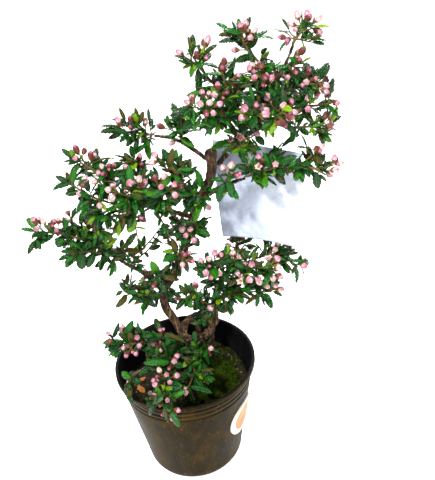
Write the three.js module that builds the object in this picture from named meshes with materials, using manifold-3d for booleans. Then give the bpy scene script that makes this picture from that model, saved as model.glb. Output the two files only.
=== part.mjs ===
// A Rulingia hermanniifolia, or wrinkled kerrawang, trained as a small bonsai, in a soft plastic nursery pot.
// Millimetres, +Z up, origin at the centre of the pot's flat base. The tree's front faces -Y.
import * as THREE from "three";
import { mergeVertices } from "three/addons/utils/BufferGeometryUtils.js";
import Module from "manifold-3d";

const wasm = await Module();
wasm.setup();

// Driving dimensions
const GAP = 0.3; // left between two pieces that touch
const POT = {
  height: 80,
  rimRadius: 44,
  baseRadius: 31,
  wall: 1,
  corner: 9,
  lip: 1,
  lipHeight: 3,
  grooves: [66, 70, 74],
  groove: 0.7,
  segments: 32,
};
const DRAIN = { count: 5, radius: 3, from: 17, sides: 6 };
const SOIL = { level: 60, mound: 9, moundRadius: 15, centre: [8, 14] };
const MOSS = { centre: [18.5, -5], radius: 15, squash: 1.3, thickness: 2.6, tuft: 0.8 };
const LOOP = { centre: [9, 17, 90], radius: 9.5, wide: 3.6, thin: 2.3, twists: 2.5, steps: 20, sides: 6 };
const TWIG = { from: 1.1, to: 0.7, joint: 1.3, span: 12, guides: 12 };
const SHOOT = { radius: 0.6, hub: 1.3, longest: 9 };
const BUD = { length: 6.8, radius: 2, belly: 0.64, spread: 1.05 };
const LEAF = { thickness: 0.6, slim: 0.4, shortest: 8, longest: 14, margin: 0.4, odds: 0.3, arch: 0.1 };
const LABEL = {
  corner: [30, 225.5, 14],
  width: 52,
  height: 57,
  yaw: 0.54,
  roll: 0.03,
  thickness: 0.6,
  bow: 1.2,
};
const STICKER = { around: -0.48, height: 43.5, radius: 14, thickness: 0.6 };

// The front is set out from one standpoint. A place on the tree is [x, z, y]: where it shows on the
// upright mid plane y = 0 from that standpoint, and then its true depth y, with +y behind that plane.
const STANDPOINT = new THREE.Vector3(28, -298, 337);

function place([x, z, y]) {
  const onPlane = new THREE.Vector3(x, 0, z);
  return STANDPOINT.clone().lerp(onPlane, 1 - y / STANDPOINT.y);
}

// The wood: limbs and roots that carry the sprays, each with its radius at both ends.
const LIMBS = [
  { path: [[-3.5, 112, 14], [-7.5, 121, 13], [-7, 134, 12], [2, 147, 10], [9, 163, 8], [13, 175, 6],
    [18, 187, 5], [24, 198, 4], [28, 207, 3], [28.5, 219.5, 3]], from: 2.9, to: 2.9, sides: 7, steps: 13 },
  { path: [[22, 110, 16], [22.5, 119, 14], [22.5, 126, 12], [27, 136, 9], [33, 142, 7], [40, 147, 6]],
    from: 2.4, to: 1.3, sides: 5, steps: 6 },
  { path: [[22, 196, 5], [26, 202, 14], [30, 208, 17.5], [35, 215, 11], [45, 224, 8], [55, 231, 7],
    [62, 240, 4], [65, 252, 2], [62, 264, 3]], from: 2.2, to: 1.1, sides: 5, steps: 12 },
  { path: [[57, 233, 7], [62, 233, 3], [69, 229, 0], [75, 223, -2]], from: 1.7, to: 1.3, sides: 4, steps: 3 },
  { path: [[53, 230, 9], [46, 234, 5], [38, 239, 1]], from: 1.5, to: 1, sides: 4, steps: 2 },
  { path: [[61, 238, 5], [68, 239, 2], [76, 238, 0]], from: 1.4, to: 1, sides: 4, steps: 2 },
  { path: [[64, 251, 2], [69, 261, 1], [73, 270, 0]], from: 1.1, to: 0.9, sides: 4, steps: 2 },
  { path: [[14, 190, 5], [25, 194, 1], [35, 199, -4], [46, 202, -9]], from: 1.7, to: 1.1, sides: 4, steps: 3 },
  { path: [[28, 213, 4], [22, 219, 6], [15, 225, 8], [8, 229, 10], [0, 230.5, 12]], from: 1.5, to: 0.9,
    sides: 4, steps: 4 },
  { path: [[15, 181, 5], [4, 186, 2], [-8, 190.5, -2], [-18, 193, -5], [-29, 194, -8]], from: 1.8, to: 1,
    sides: 4, steps: 4 },
  { path: [[-8, 135, 12], [-18.5, 148.5, 9], [-27, 155, 6], [-34.5, 163, 4], [-40, 167.5, 3]], from: 1.7,
    to: 1.1, sides: 4, steps: 4 },
];

// The leafy sprays. Each has the path of its twig, its heads of buds, as a place and the number of buds,
// and its own large leaves, as the place of the tip and the width. Other leaves follow a rule.
const SPRAYS = [
  { name: "crown_top_right", path: [[70, 264, 1], [73, 271, 0], [77, 276, -1], [80, 279, -2]],
    heads: [[75.5, 283, -1, 3], [80, 284, -3, 3], [84.5, 281, -1, 3], [68.5, 274, 0, 2]],
    leaves: [[88, 276, -3, 3.6], [64, 278, 1, 3]] },
  { name: "crown_top_left", path: [[62, 257, 3], [55, 264, 4], [50, 272, 4], [47, 278, 3]],
    heads: [[45.5, 285, 3, 2], [42, 282, 2, 2], [48, 281, 0, 2], [53, 277.5, 4, 3], [46.5, 270, 5, 1]],
    leaves: [[39.5, 280, 2, 4], [56, 276, 2, 3], [55, 262, 0, 5]] },
  { name: "crown_left_top", path: [[42, 237, 3], [38, 248, 7], [31, 257, 9], [27, 263, 9], [24, 269, 9]],
    heads: [[21, 277, 9, 3], [31.5, 275.5, 8, 2], [18, 271, 10, 1], [29.5, 267, 7, 2]],
    leaves: [[25, 248.5, 8, 4], [36, 262, 8, 4]] },
  { name: "crown_left_mid", path: [[46, 235, 4], [42, 245, 0], [39, 253, -2], [38, 259, -3]],
    heads: [[35.5, 265.5, -4, 3], [39, 265, -1, 2], [41.5, 261, -2, 2], [44, 257, -2, 2]],
    leaves: [[44.5, 267, -2, 2.6]] },
  { name: "crown_left_front", path: [[40, 238, 2], [36, 238, -8], [29, 240, -14], [24, 240, -18]],
    heads: [[19, 246.5, -18, 2], [25.5, 245, -20, 3], [31, 245, -20, 3], [35, 253, -9, 3], [27, 251, -11, 2]],
    leaves: [[15.5, 239, -20, 5], [37, 234, -20, 5], [29, 228, -15, 4.5]] },
  { name: "crown_front", path: [[58, 235, 6], [54, 238, -8], [52, 237, -18], [53, 235, -25]],
    heads: [[48.5, 240, -23, 3], [52.5, 236.5, -28, 4], [58, 237, -26, 3]],
    leaves: [[44, 233, -26, 5], [59, 228, -25, 5], [51, 229, -26, 4.5]] },
  { name: "crown_right_front", path: [[63, 241, 4], [64, 241, -8], [65, 238, -18], [66, 236, -24]],
    heads: [[63, 238, -27, 4], [67.5, 238, -26, 4], [65, 232, -27, 3], [73, 236.5, -19, 3],
      [59.5, 245, -16, 3]],
    leaves: [[67, 226, -24, 4.5], [73, 229, -18, 4]] },
  { name: "crown_middle", path: [[64, 249, 2], [60, 252, -4], [56, 256, -9]],
    heads: [[51.5, 260.5, -10, 3], [57, 261, -12, 3], [57.5, 252, -14, 2]],
    leaves: [[61, 268, -8, 6], [64, 262, -12, 6]] },
  { name: "crown_right_top", path: [[66, 255, 2], [71, 259, 0], [75, 262, -1]],
    heads: [[77, 266.5, -2, 4], [73.5, 257, -6, 2]],
    leaves: [[81.5, 259, -3, 4.5]] },
  { name: "crown_right", path: [[65, 247, 3], [73, 248, 0], [80, 250, -2], [84, 250, -3]],
    heads: [[80, 256, -4, 3], [88.5, 246, -4, 4], [87, 251, -2, 2]],
    leaves: [[86, 260, -3, 4.5]] },
  { name: "crown_right_low", path: [[75, 238, 0], [83, 239, -2], [90, 239, -3]],
    heads: [[93, 242, -3, 3], [80, 243, -6, 2]],
    leaves: [[99.5, 237.5, -4, 4.5], [89, 231, -2, 2.6]] },
  { name: "crown_hanging", path: [[70, 228, 0], [75, 228, -3], [83, 228, -4], [90, 227.5, -4]],
    heads: [[92, 231.5, -5, 3], [71, 216, -4, 2]],
    leaves: [[97.5, 232, -5, 4], [88, 216, -5, 2.6], [66, 218, -3, 2.6]] },
  { name: "crown_under", path: [[50, 227, 10], [48, 225, 2], [45, 222, -5], [43, 219.5, -8]],
    heads: [[39.5, 225, -8, 2], [54, 226.5, -11, 1]],
    leaves: [[39, 212, -9, 5], [48, 213.5, -8, 4.5], [57, 220, -9, 4.5], [34, 217, -4, 6]] },
  { name: "crown_back_left", path: [[46, 225, 8.5], [45, 234, 22], [41, 242, 30]],
    heads: [[38, 250, 33, 3], [46, 250, 31, 3], [33, 244, 29, 2]], leaves: [] },
  { name: "crown_back_right", path: [[64, 245, 3], [68, 247, 14], [73, 249, 25], [75, 251, 30]],
    heads: [[79, 257, 30, 3], [71, 259, 32, 3], [85, 250, 25, 2]], leaves: [] },
  { name: "crown_back", path: [[61, 238, 5], [58, 241, 18], [57, 244, 30]],
    heads: [[54, 252, 33, 3], [60, 250, 35, 3]], leaves: [] },
  { name: "right_arm",
    path: [[46, 202.5, -9], [56, 205.5, -14], [66, 207, -19], [78, 206.5, -22], [90, 199.5, -24]],
    heads: [[94, 202, -24, 2], [98, 205.5, -25, 3], [98, 196, -25, 2], [87.5, 216, -20, 3],
      [62.5, 208, -21, 1], [54.5, 211.5, -14, 2]],
    leaves: [[74, 212, -24, 5], [66, 197, -21, 5], [73, 197.5, -24, 4.5], [89, 208, -22, 4],
      [80, 211, -24, 3.5]] },
  { name: "right_arm_inner", path: [[32, 197, -2], [35, 201, -9], [36, 203, -12]],
    heads: [[37.5, 207, -12, 3], [41, 210, -12, 1]],
    leaves: [[30, 189, -11, 5], [38, 191, -13, 5], [50, 192, -15, 4.5], [27, 203, -8, 3]] },
  { name: "upper_left", path: [[2, 230.5, 12], [-9.5, 233, 12], [-17, 234.5, 12]],
    heads: [[-16.5, 239, 12, 1], [-10.5, 240, 12, 2], [-3.5, 237.5, 13, 1]],
    leaves: [[-9, 219, 8, 5], [-4, 217.5, 10, 4], [-21, 232, 12, 3]] },
  { name: "upper_left_inner", path: [[13, 226, 9], [15, 232, 8], [14.5, 238, 7]],
    heads: [[9, 226, 4, 1], [4.5, 235, 11, 1]],
    leaves: [[8, 241, 7, 3], [25, 231, 6, 4], [20, 222, 4, 4], [13, 214, 7, 2.6]] },
  { name: "centre_twig", path: [[18, 187, 5], [12, 197, -4], [10, 206, -8], [6, 215, -10]],
    heads: [[2, 222.5, -10, 3], [-1, 220, -11, 2]],
    leaves: [[14, 217.5, -10, 2.6], [17, 203, -6, 3], [1, 207, -10, 5]] },
  { name: "left_mid_tip", path: [[-27, 194, -8], [-35, 197, -9], [-41, 201, -10], [-48, 208, -12]],
    heads: [[-42, 206.5, -15, 3], [-51.5, 213.5, -12, 3], [-53, 210, -13, 1]],
    leaves: [[-44, 217.5, -12, 3], [-51, 204.5, -11, 3.6], [-30, 206, -12, 4.5]] },
  { name: "left_mid_up", path: [[-20, 193.5, -5], [-27, 203, -3], [-33, 212.5, -1], [-41, 220, 0]],
    heads: [[-41, 226.5, 0, 3], [-34.5, 223, -1, 2], [-26, 216, -6, 4], [-32, 210.5, -9, 2]],
    leaves: [[-46, 223, 0, 3.4], [-35, 216, 2, 4], [-22, 220, -3, 4]] },
  { name: "left_mid_front", path: [[-14, 192, -4], [-16, 197, -12], [-16, 203, -18]],
    heads: [[-16.5, 208.5, -21, 4], [-11.5, 207, -18, 3], [-29, 202.5, -16, 3]],
    leaves: [[-27, 197, -18, 4.5], [-8, 200, -18, 4.5], [-21, 206, -14, 4]] },
  { name: "left_mid_top", path: [[-9, 190.5, -2], [-10, 202, 3], [-11, 212, 5]],
    heads: [[-14.5, 219, 5, 3], [-9, 219.5, 4, 2]],
    leaves: [[-2, 214, 2, 3], [-20, 214, 5, 4.5], [-1, 209, 1, 3]] },
  { name: "left_mid_inner", path: [[1, 187, 1], [-1, 194, -9], [1, 198, -15]],
    heads: [[-2.5, 206.5, -17, 3], [1.5, 203, -20, 2], [7, 202, -17, 3]],
    leaves: [[-8, 196, -16, 5], [9, 191, -15, 5], [14, 197, -12, 5]] },
  { name: "left_mid_under", path: [[-12, 191.5, -3], [-20, 187, -9], [-31, 186, -13], [-37, 188, -14]],
    heads: [[-35, 193, -15, 1], [-12.5, 182, -9, 2]],
    leaves: [[-22, 175, -10, 5.5], [-14.5, 172, -12, 5.5], [-43, 186, -15, 4.5], [-38, 181, -13, 4],
      [-30, 175, -12, 3.6]] },
  { name: "low_left_tip", path: [[-38, 166, 3], [-49.5, 174, -1], [-59.5, 178, -4], [-73, 181, -6]],
    heads: [[-72, 187.5, -6, 3], [-67.5, 187, -5, 2], [-61, 186, -6, 2]],
    leaves: [[-81, 183.5, -7, 2.6], [-63, 169.5, -6, 5.5], [-55, 170, -7, 5], [-55, 183, 1, 3]] },
  { name: "low_left_mid", path: [[-33, 161.5, 4], [-42, 172, 5], [-50, 179, 6], [-54, 183, 6]],
    heads: [[-53, 191, 6, 3], [-44, 184, 5, 1]],
    leaves: [[-48, 194, 5, 3.6], [-46, 182, 8, 4], [-60, 184, 7, 3]] },
  { name: "low_left_under", path: [[-30, 158, 5], [-38, 163, -3], [-47, 165, -7], [-53, 166, -8]],
    heads: [[-57, 167, -9, 2]],
    leaves: [[-52.5, 153.5, -8, 6.5], [-46, 158, -7, 4], [-41, 156, -5, 4]] },
  { name: "low_left_inner", path: [[-22, 151.5, 8], [-25, 160, 3], [-28, 166, 1]],
    heads: [[-28, 171.5, 1, 2]],
    leaves: [[-34, 152, 3, 4.5], [-18, 162, 2, 5], [-16, 156, 1, 4], [-20, 169, 0, 4.5]] },
  { name: "low_front_left", path: [[-7.5, 129, 12], [-16, 132, 5], [-25, 131, 0], [-31, 136, -3]],
    heads: [[-34.5, 140, -4, 4]],
    leaves: [[-13, 122, 2, 5.5], [-20, 138, 2, 4], [-36, 133, -3, 3.5], [-27, 124.5, 0, 3]] },
  { name: "trunk_front", path: [[3, 150, 9.5], [3, 155, 2], [4, 158, -3]],
    heads: [[4.5, 162.5, -5, 4], [10.5, 153, -5, 4]],
    leaves: [[1, 148, -4, 5.5], [-4, 157, -3, 4.5], [9, 145, -4, 5]] },
  { name: "trunk_front_low", path: [[-7, 136, 11.5], [-8, 142, 5], [-9, 146, 3]],
    heads: [[-9.5, 150.5, 2, 2], [-10, 141, 1, 1]],
    leaves: [[3, 140, 3, 5.5], [-15, 148, 3, 4]] },
  { name: "trunk_middle", path: [[11, 169, 7], [13, 168, 1], [14, 171, -2]],
    heads: [[11.5, 170, -5, 3], [16.5, 177, -3, 2]],
    leaves: [[24, 168, 0, 5], [20, 179, -1, 5], [4, 171, -3, 5], [17, 162, -2, 5]] },
  { name: "trunk_upper", path: [[19, 189, 4.5], [20, 194, -3], [22, 198, -6]],
    heads: [[24, 187, -8, 1]],
    leaves: [[16, 178, -7, 6], [20, 207, -6, 4], [27, 182, -5, 5], [11, 184, -6, 5]] },
  { name: "trunk_back", path: [[12, 172, 7], [10, 175, 20], [8, 178, 33]],
    heads: [[4, 184, 35, 3], [12, 183, 36, 3], [0, 177, 28, 2]], leaves: [] },
  { name: "trunk_back_left", path: [[-7, 128, 12.5], [-10, 136, 24], [-13, 142, 34]],
    heads: [[-16, 148, 36, 3], [-9, 148, 35, 2]], leaves: [] },
  { name: "left_back", path: [[-4, 189, 0], [-8, 193, 12], [-13, 197, 24], [-16, 199, 30]],
    heads: [[-19, 204, 31, 3], [-12, 205, 30, 3], [-24, 198, 26, 2]], leaves: [] },
  { name: "right_low_twig", path: [[24, 130, 10.5], [34, 128.5, 4], [47, 126.5, 0], [58, 125.5, -2]],
    heads: [[58.5, 127.5, -3, 3], [64, 128.5, -3, 2]],
    leaves: [[41, 117.5, 0, 4.5], [64, 121.5, -2, 3], [52, 134, 0, 3]] },
  { name: "right_low_upper", path: [[38, 146, 6], [50, 150.5, 7], [60, 152, 9], [69, 147, 9], [73, 142.5, 9]],
    heads: [[76, 144.5, 9, 2], [62, 158, 11, 3], [67.5, 158, 12, 2]],
    leaves: [[75.5, 150, 9, 3], [63, 143, 8, 3.5], [70, 137, 8, 3]] },
  { name: "right_low_front", path: [[34, 142.5, 7], [42, 141, -2], [50, 140.5, -6], [57, 141, -8]],
    heads: [[49.5, 137, -11, 3], [60.5, 138, -9, 3], [61, 148, -7, 3], [46.5, 146, -9, 2],
      [39.5, 136.5, -6, 2]],
    leaves: [[52, 130, -8, 4], [57, 133, -9, 3.5]] },
  { name: "right_low_inner", path: [[25, 133, 10], [24, 140, 2], [23, 147, -4]],
    heads: [[20.5, 156, -6, 2], [25.5, 156, -6, 3], [17, 149, -8, 2], [26, 143, -7, 2], [39.5, 152.5, 1, 2]],
    leaves: [[31, 150, -4, 4.5], [14, 142, -5, 5], [33, 135, -3, 4.5]] },
  { name: "right_low_dark", path: [[22.5, 121, 13.5], [27, 124, 8], [31, 127, 4]],
    heads: [[20, 118, 6, 1]],
    leaves: [[29, 113, 4, 6], [39, 127, 2, 4.5], [24, 130, 3, 5], [34, 118, 3, 5]] },
  { name: "right_back", path: [[31, 140, 8], [36, 150, 16], [40, 158, 24]],
    heads: [[36, 164, 26, 3], [46, 163, 27, 3]],
    leaves: [[30, 158, 20, 5], [50, 158, 22, 5], [52, 166, 24, 4.5]] },
  { name: "low_twig", path: [[22, 118, 14], [15, 123, 6], [9, 128, 2]],
    heads: [[7, 134, 1, 2], [13, 135, 3, 2], [0.5, 127, 3, 1]],
    leaves: [[12, 119, 2, 4]] },
  { name: "loop_tuft", path: [[20, 106, 17], [16, 110, 16], [13, 114, 15]],
    heads: [], leaves: [[8, 111, 12, 4.5], [19, 117, 12, 4.5], [14, 107, 9, 4.5], [22, 114, 11, 4]] },
  { name: "basal_left",
    path: [[0, 95, 16], [-6, 94, 8], [-15, 93, 0], [-28, 96, -2], [-40, 96, -3], [-46, 97, -4]],
    heads: [[-45.5, 105, -4, 2], [-37.5, 107, -3, 2], [-27.5, 99.5, -9, 2], [-36, 87.5, -10, 3]],
    leaves: [[-49.5, 93, -5, 3], [-46, 86, -7, 3.5], [-32, 104.5, -6, 6], [-26, 112, -2, 3],
      [-24, 104, -7, 4]] },
  { name: "basal_upright", path: [[-0.3, 90.5, 16.3], [-4, 90.5, 7], [-9, 90.5, -2], [-17, 93, -8]],
    heads: [[-13, 104, -10, 1], [-17.5, 99.5, -12, 2], [-9.5, 94, -13, 2], [-15, 87.5, -16, 2]],
    leaves: [[-22.5, 97.5, -10, 4], [-5.5, 98.5, -4, 5], [1.5, 92, -6, 5], [1, 83.5, -10, 6]] },
  { name: "basal_front",
    path: [[-0.6, 86.5, 16.5], [-2, 86.5, 6], [-6, 84, -8], [-10, 76, -18], [-14, 66, -28], [-16, 58.5, -35]],
    heads: [[-7.5, 77.5, -24, 3], [-18.5, 65.5, -33, 4], [-11, 64.5, -31, 2]],
    leaves: [[-27, 78.5, -22, 5.5], [-25.5, 62, -31, 5], [-2, 72.5, -21, 5], [-0.5, 63, -27, 6],
      [-4.5, 55, -33, 5]] },
  { name: "basal_front", path: [[-16, 58.5, -36], [-17, 50, -42], [-16, 42, -46], [-14.5, 36, -48.5]],
    heads: [[-20.5, 52, -43, 3], [-19, 43, -47.5, 3], [-14.5, 29, -49.5, 3]],
    leaves: [[-24, 46, -43, 4.5], [-6.5, 49, -45, 5], [-9, 31, -50, 6], [-10, 56, -38, 5]] },
  { name: "basal_front", path: [[-10.4, 76, -18.4], [-20, 75, -21], [-30, 73, -23], [-36, 69, -26]],
    heads: [[-41.5, 61, -30, 2]],
    leaves: [[-42, 73, -25, 4.5], [-31, 62.5, -29, 4.5]] },
  { name: "basal_right", path: [[16, 87, 12], [10, 84, 4], [6.5, 79, -6], [5, 70, -17], [6, 60, -27]],
    heads: [[4.5, 53.5, -32, 2], [-2.5, 49.5, -35, 1], [17, 85.5, -4, 1]],
    leaves: [[18, 58.5, -28, 6.5], [15, 47, -35, 5], [7.5, 43, -37, 4.5], [-0.5, 60, -29, 3],
      [11.5, 70, -20, 5], [14, 78, -12, 5]] },
];

// A repeatable random draw in [0, 1) for each spray
function drawFrom(seed) {
  let state = seed >>> 0;
  return () => {
    state = (state + 0x6d2b79f5) >>> 0;
    let t = state;
    t = Math.imul(t ^ (t >>> 15), t | 1);
    t ^= t + Math.imul(t ^ (t >>> 7), t | 61);
    return ((t ^ (t >>> 14)) >>> 0) / 4294967296;
  };
}

// Solids
function solidFrom(positions, triangles) {
  return new wasm.Manifold(
    new wasm.Mesh({
      numProp: 3,
      vertProperties: new Float32Array(positions.flatMap((p) => [p.x, p.y, p.z])),
      triVerts: new Uint32Array(triangles.flat()),
    }),
  );
}

function solidOf(geometry) {
  const bare = geometry.clone();
  bare.deleteAttribute("normal");
  bare.deleteAttribute("uv");
  const merged = mergeVertices(bare, 1e-4);
  return new wasm.Manifold(
    new wasm.Mesh({
      numProp: 3,
      vertProperties: new Float32Array(merged.attributes.position.array),
      triVerts: new Uint32Array(merged.index.array),
    }),
  );
}

function geometryOf(solid) {
  const mesh = solid.getMesh();
  const flat = new THREE.BufferGeometry();
  flat.setAttribute("position", new THREE.BufferAttribute(mesh.vertProperties, 3));
  flat.setIndex(new THREE.BufferAttribute(mesh.triVerts, 1));
  flat.computeVertexNormals();
  return flat;
}

function fuse(solids) {
  return wasm.Manifold.union(solids);
}

// A boolean can leave a scrap cut off: only the main body is kept.
function mainBody(solid) {
  return solid.decompose().sort((a, b) => b.volume() - a.volume())[0];
}

function curveThrough(points) {
  return new THREE.CatmullRomCurve3(points, false, "catmullrom", 0.5);
}

// The frame of a stem at each of its points: the way along it and two ways across it
function framesOf(points) {
  let side = new THREE.Vector3(0.31, 0.17, 0.93);
  return points.map((p, i) => {
    const before = points[Math.max(i - 1, 0)];
    const after = points[Math.min(i + 1, points.length - 1)];
    const along = after.clone().sub(before).normalize();
    side = side.clone().addScaledVector(along, -side.dot(along)).normalize();
    return { along, across: side, other: along.clone().cross(side) };
  });
}

// A closed stem through a list of points. radiusAt gives its radius at a share of its length and at a turn
// round it.
function stem(points, sides, radiusAt) {
  const rings = [];
  const faces = [];
  const frames = framesOf(points);
  points.forEach((p, i) => {
    for (let k = 0; k < sides; k++) {
      const turn = (2 * Math.PI * k) / sides;
      const radius = radiusAt(i / (points.length - 1), turn);
      const { across, other } = frames[i];
      const corner = p.clone().addScaledVector(across, radius * Math.cos(turn));
      rings.push(corner.addScaledVector(other, radius * Math.sin(turn)));
    }
  });
  const ends = [rings.push(points[0].clone()) - 1, rings.push(points.at(-1).clone()) - 1];
  const last = (points.length - 1) * sides;
  for (let k = 0; k < sides; k++) {
    const next = (k + 1) % sides;
    for (let a = 0; a < last; a += sides) {
      const b = a + sides;
      faces.push([a + k, a + next, b + next], [a + k, b + next, b + k]);
    }
    faces.push([ends[0], next, k], [ends[1], last + k, last + next]);
  }
  return solidFrom(rings, faces);
}

// Pot
function potRadius(z) {
  return POT.baseRadius + ((POT.rimRadius - POT.baseRadius) * z) / POT.height;
}

function potInside(z) {
  return potRadius(Math.max(z, POT.corner)) - POT.wall;
}

function cornerArc(radius, floor, outward) {
  const arc = [];
  const steps = 3;
  const centre = potRadius(POT.corner) - POT.corner;
  for (let i = 0; i <= steps; i++) {
    const turn = (Math.PI / 2) * (outward ? i / steps : 1 - i / steps);
    arc.push(new THREE.Vector2(centre + radius * Math.sin(turn), floor + radius * (1 - Math.cos(turn))));
  }
  return arc;
}

function makePot() {
  const { height, wall, corner, lip, lipHeight, groove } = POT;
  const profile = [new THREE.Vector2(0, 0), ...cornerArc(corner, 0, true)];
  for (const z of POT.grooves) {
    profile.push(new THREE.Vector2(potRadius(z), z));
    profile.push(new THREE.Vector2(potRadius(z) - groove, z + 1.2));
  }
  profile.push(new THREE.Vector2(potRadius(height) + lip, height - lipHeight));
  profile.push(new THREE.Vector2(potRadius(height) + lip, height));
  profile.push(new THREE.Vector2(potInside(height), height));
  profile.push(...cornerArc(corner - wall, wall, false));
  profile.push(new THREE.Vector2(0, wall));
  const body = solidOf(new THREE.LatheGeometry(profile, POT.segments).rotateX(Math.PI / 2));
  const hole = new THREE.CylinderGeometry(DRAIN.radius, DRAIN.radius, 8, DRAIN.sides).rotateX(Math.PI / 2);
  const drains = [];
  for (let i = 0; i < DRAIN.count; i++) {
    const turn = (2 * Math.PI * (i + 0.5)) / DRAIN.count;
    drains.push(solidOf(hole.clone().translate(DRAIN.from * Math.cos(turn), DRAIN.from * Math.sin(turn), 0)));
  }
  return body.subtract(fuse(drains));
}

// Soil and moss, as heights over a round plan
function soilTop(x, y) {
  const away = ((x - SOIL.centre[0]) ** 2 + (y - SOIL.centre[1]) ** 2) / SOIL.moundRadius ** 2;
  const crumbs = 0.5 * Math.sin(x * 0.55 + 1.3) * Math.cos(y * 0.62) + 0.35 * Math.sin(x * 1.3 - y * 1.1);
  return SOIL.level + SOIL.mound * Math.exp(-away / 2) + crumbs;
}

function mossThickness(x, y) {
  const away = Math.hypot(x - MOSS.centre[0], (y - MOSS.centre[1]) / MOSS.squash) / MOSS.radius;
  const tufts = MOSS.tuft * Math.sin(x * 0.9) * Math.sin(y * 0.8 + 0.7);
  return away < 1 ? (MOSS.thickness + tufts) * Math.sqrt(1 - away ** 2) : 0;
}

function groundTop(x, y) {
  const moss = mossThickness(x, y);
  return soilTop(x, y) + (moss > 0 ? moss + GAP + 0.5 : 0);
}

// A round slab. Its upper and its lower face are each a function from a place on the unit disc to a point.
function slab(high, low, { segments, highRings, lowRings }) {
  const points = [];
  const faces = [];
  const face = (surface, rings, flip) => {
    const index = [[points.push(surface(0, 0)) - 1]];
    for (let ring = 1; ring <= rings; ring++) {
      const row = [];
      for (let k = 0; k < segments; k++) {
        const turn = (2 * Math.PI * k) / segments;
        row.push(points.push(surface((ring / rings) * Math.cos(turn), (ring / rings) * Math.sin(turn))) - 1);
      }
      index.push(row);
    }
    const add = (a, b, c) => faces.push(flip ? [a, c, b] : [a, b, c]);
    for (let k = 0; k < segments; k++) {
      const next = (k + 1) % segments;
      add(index[0][0], index[1][k], index[1][next]);
      for (let ring = 1; ring < rings; ring++) {
        add(index[ring][k], index[ring + 1][k], index[ring + 1][next]);
        add(index[ring][k], index[ring + 1][next], index[ring][next]);
      }
    }
    return index[rings];
  };
  const top = face(high, highRings, false);
  const bottom = face(low, lowRings, true);
  for (let k = 0; k < segments; k++) {
    const next = (k + 1) % segments;
    faces.push([bottom[k], bottom[next], top[next]], [bottom[k], top[next], top[k]]);
  }
  return solidFrom(points, faces);
}

function soilBody() {
  const reach = potInside(SOIL.level - 1) - GAP;
  const floorReach = potInside(POT.corner) - GAP;
  const high = (u, v) => new THREE.Vector3(reach * u, reach * v, soilTop(reach * u, reach * v));
  const low = (u, v) => {
    const rim = Math.hypot(u, v) > 0.9;
    return new THREE.Vector3(floorReach * u, floorReach * v, rim ? POT.corner : POT.wall + GAP);
  };
  return slab(high, low, { segments: POT.segments, highRings: 5, lowRings: 3 });
}

function makeMoss(trunkRoom) {
  const layer = (lift) => (u, v) => {
    const x = MOSS.centre[0] + MOSS.radius * u;
    const y = MOSS.centre[1] + MOSS.radius * MOSS.squash * v;
    return new THREE.Vector3(x, y, soilTop(x, y) + (lift < 0 ? lift : lift + mossThickness(x, y)));
  };
  const pad = slab(layer(0.8), layer(-1), { segments: 16, highRings: 4, lowRings: 1 });
  return mainBody(pad.subtract(soilBody().translate([0, 0, GAP])).subtract(trunkRoom));
}

// Wood
function limbPoints({ path, steps }) {
  return curveThrough(path.map(place)).getPoints(steps);
}

// The trunk was wound once round itself when young, so it stands on a loop with a twisted, rope-like section.
function loopPoints(from, to) {
  return Array.from({ length: LOOP.steps / 2 + 1 }, (_, i) => {
    const turn = Math.PI * (-0.35 + 1.95 * (from + ((to - from) * 2 * i) / LOOP.steps));
    return new THREE.Vector3(
      LOOP.centre[0] + LOOP.radius * Math.cos(turn),
      LOOP.centre[1] + LOOP.radius * Math.sin(turn),
      LOOP.centre[2] + 2.5 * Math.sin(turn + 0.6),
    );
  });
}

function rootStems() {
  const [x, y, z] = LOOP.centre;
  const r = LOOP.radius;
  const v = (dx, dy, dz) => new THREE.Vector3(x + dx, y + dy, z + dz);
  const foot = ({ path }) => [place(path[0]), place(path[1])];
  return [
    { points: [v(r - 3, -5, -34), v(r - 3, -4, -20), v(r - 1, -3, -10), v(r - 1, 0, 2)], from: 3.2, to: 2.4 },
    { points: [v(-r - 2, 2, -34), v(-r - 2, 1, -20), v(-r - 1, -1, -8), v(-r, -3, 4)], from: 2.8, to: 2.4 },
    { points: [v(1, r + 1, -34), v(1, r, -18), v(0, r - 1, 0)], from: 2.6, to: 2 },
    { points: [v(-r, -4, -1), v(-r - 2, -4, 4), ...foot(LIMBS[0])], from: 2.8, to: 2.9 },
    { points: [v(r, 1, 0), place([22, 107, 17]), ...foot(LIMBS[1])], from: 2.6, to: 2.4 },
  ];
}

// Every stem of the wood as a list of points with its radius at both ends
function woodStems() {
  const roots = rootStems().map((root) => {
    return { ...root, sides: 5, points: curveThrough(root.points).getPoints(4) };
  });
  return [...LIMBS.map((limb) => ({ ...limb, points: limbPoints(limb) })), ...roots];
}

function woodSolid(extra) {
  const halves = [0, 0.5].map((from) => {
    const radiusAt = (share, turn) => {
      const spin = turn - 2 * Math.PI * LOOP.twists * (from + share / 2);
      const span = Math.hypot(LOOP.thin * Math.cos(spin), LOOP.wide * Math.sin(spin));
      return (LOOP.wide * LOOP.thin) / span + extra;
    };
    return stem(loopPoints(from, from + 0.5), LOOP.sides, radiusAt);
  });
  const stems = woodStems().map(({ points, from, to, sides }) =>
    stem(points, sides, (share) => from + (to - from) * share + extra),
  );
  return fuse([...halves, ...stems]);
}

// Room: what other pieces already fill, as round-ended bars, so that nothing new crosses them
const bars = [];

function addBars(points, radius, owner, kind) {
  points.slice(1).forEach((b, i) => bars.push({ a: points[i], b, radius, owner, kind }));
}

function nearestOn({ a, b }, p) {
  const ab = b.clone().sub(a);
  const t = Math.min(1, Math.max(0, p.clone().sub(a).dot(ab) / ab.lengthSq()));
  return a.clone().addScaledVector(ab, t);
}

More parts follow.
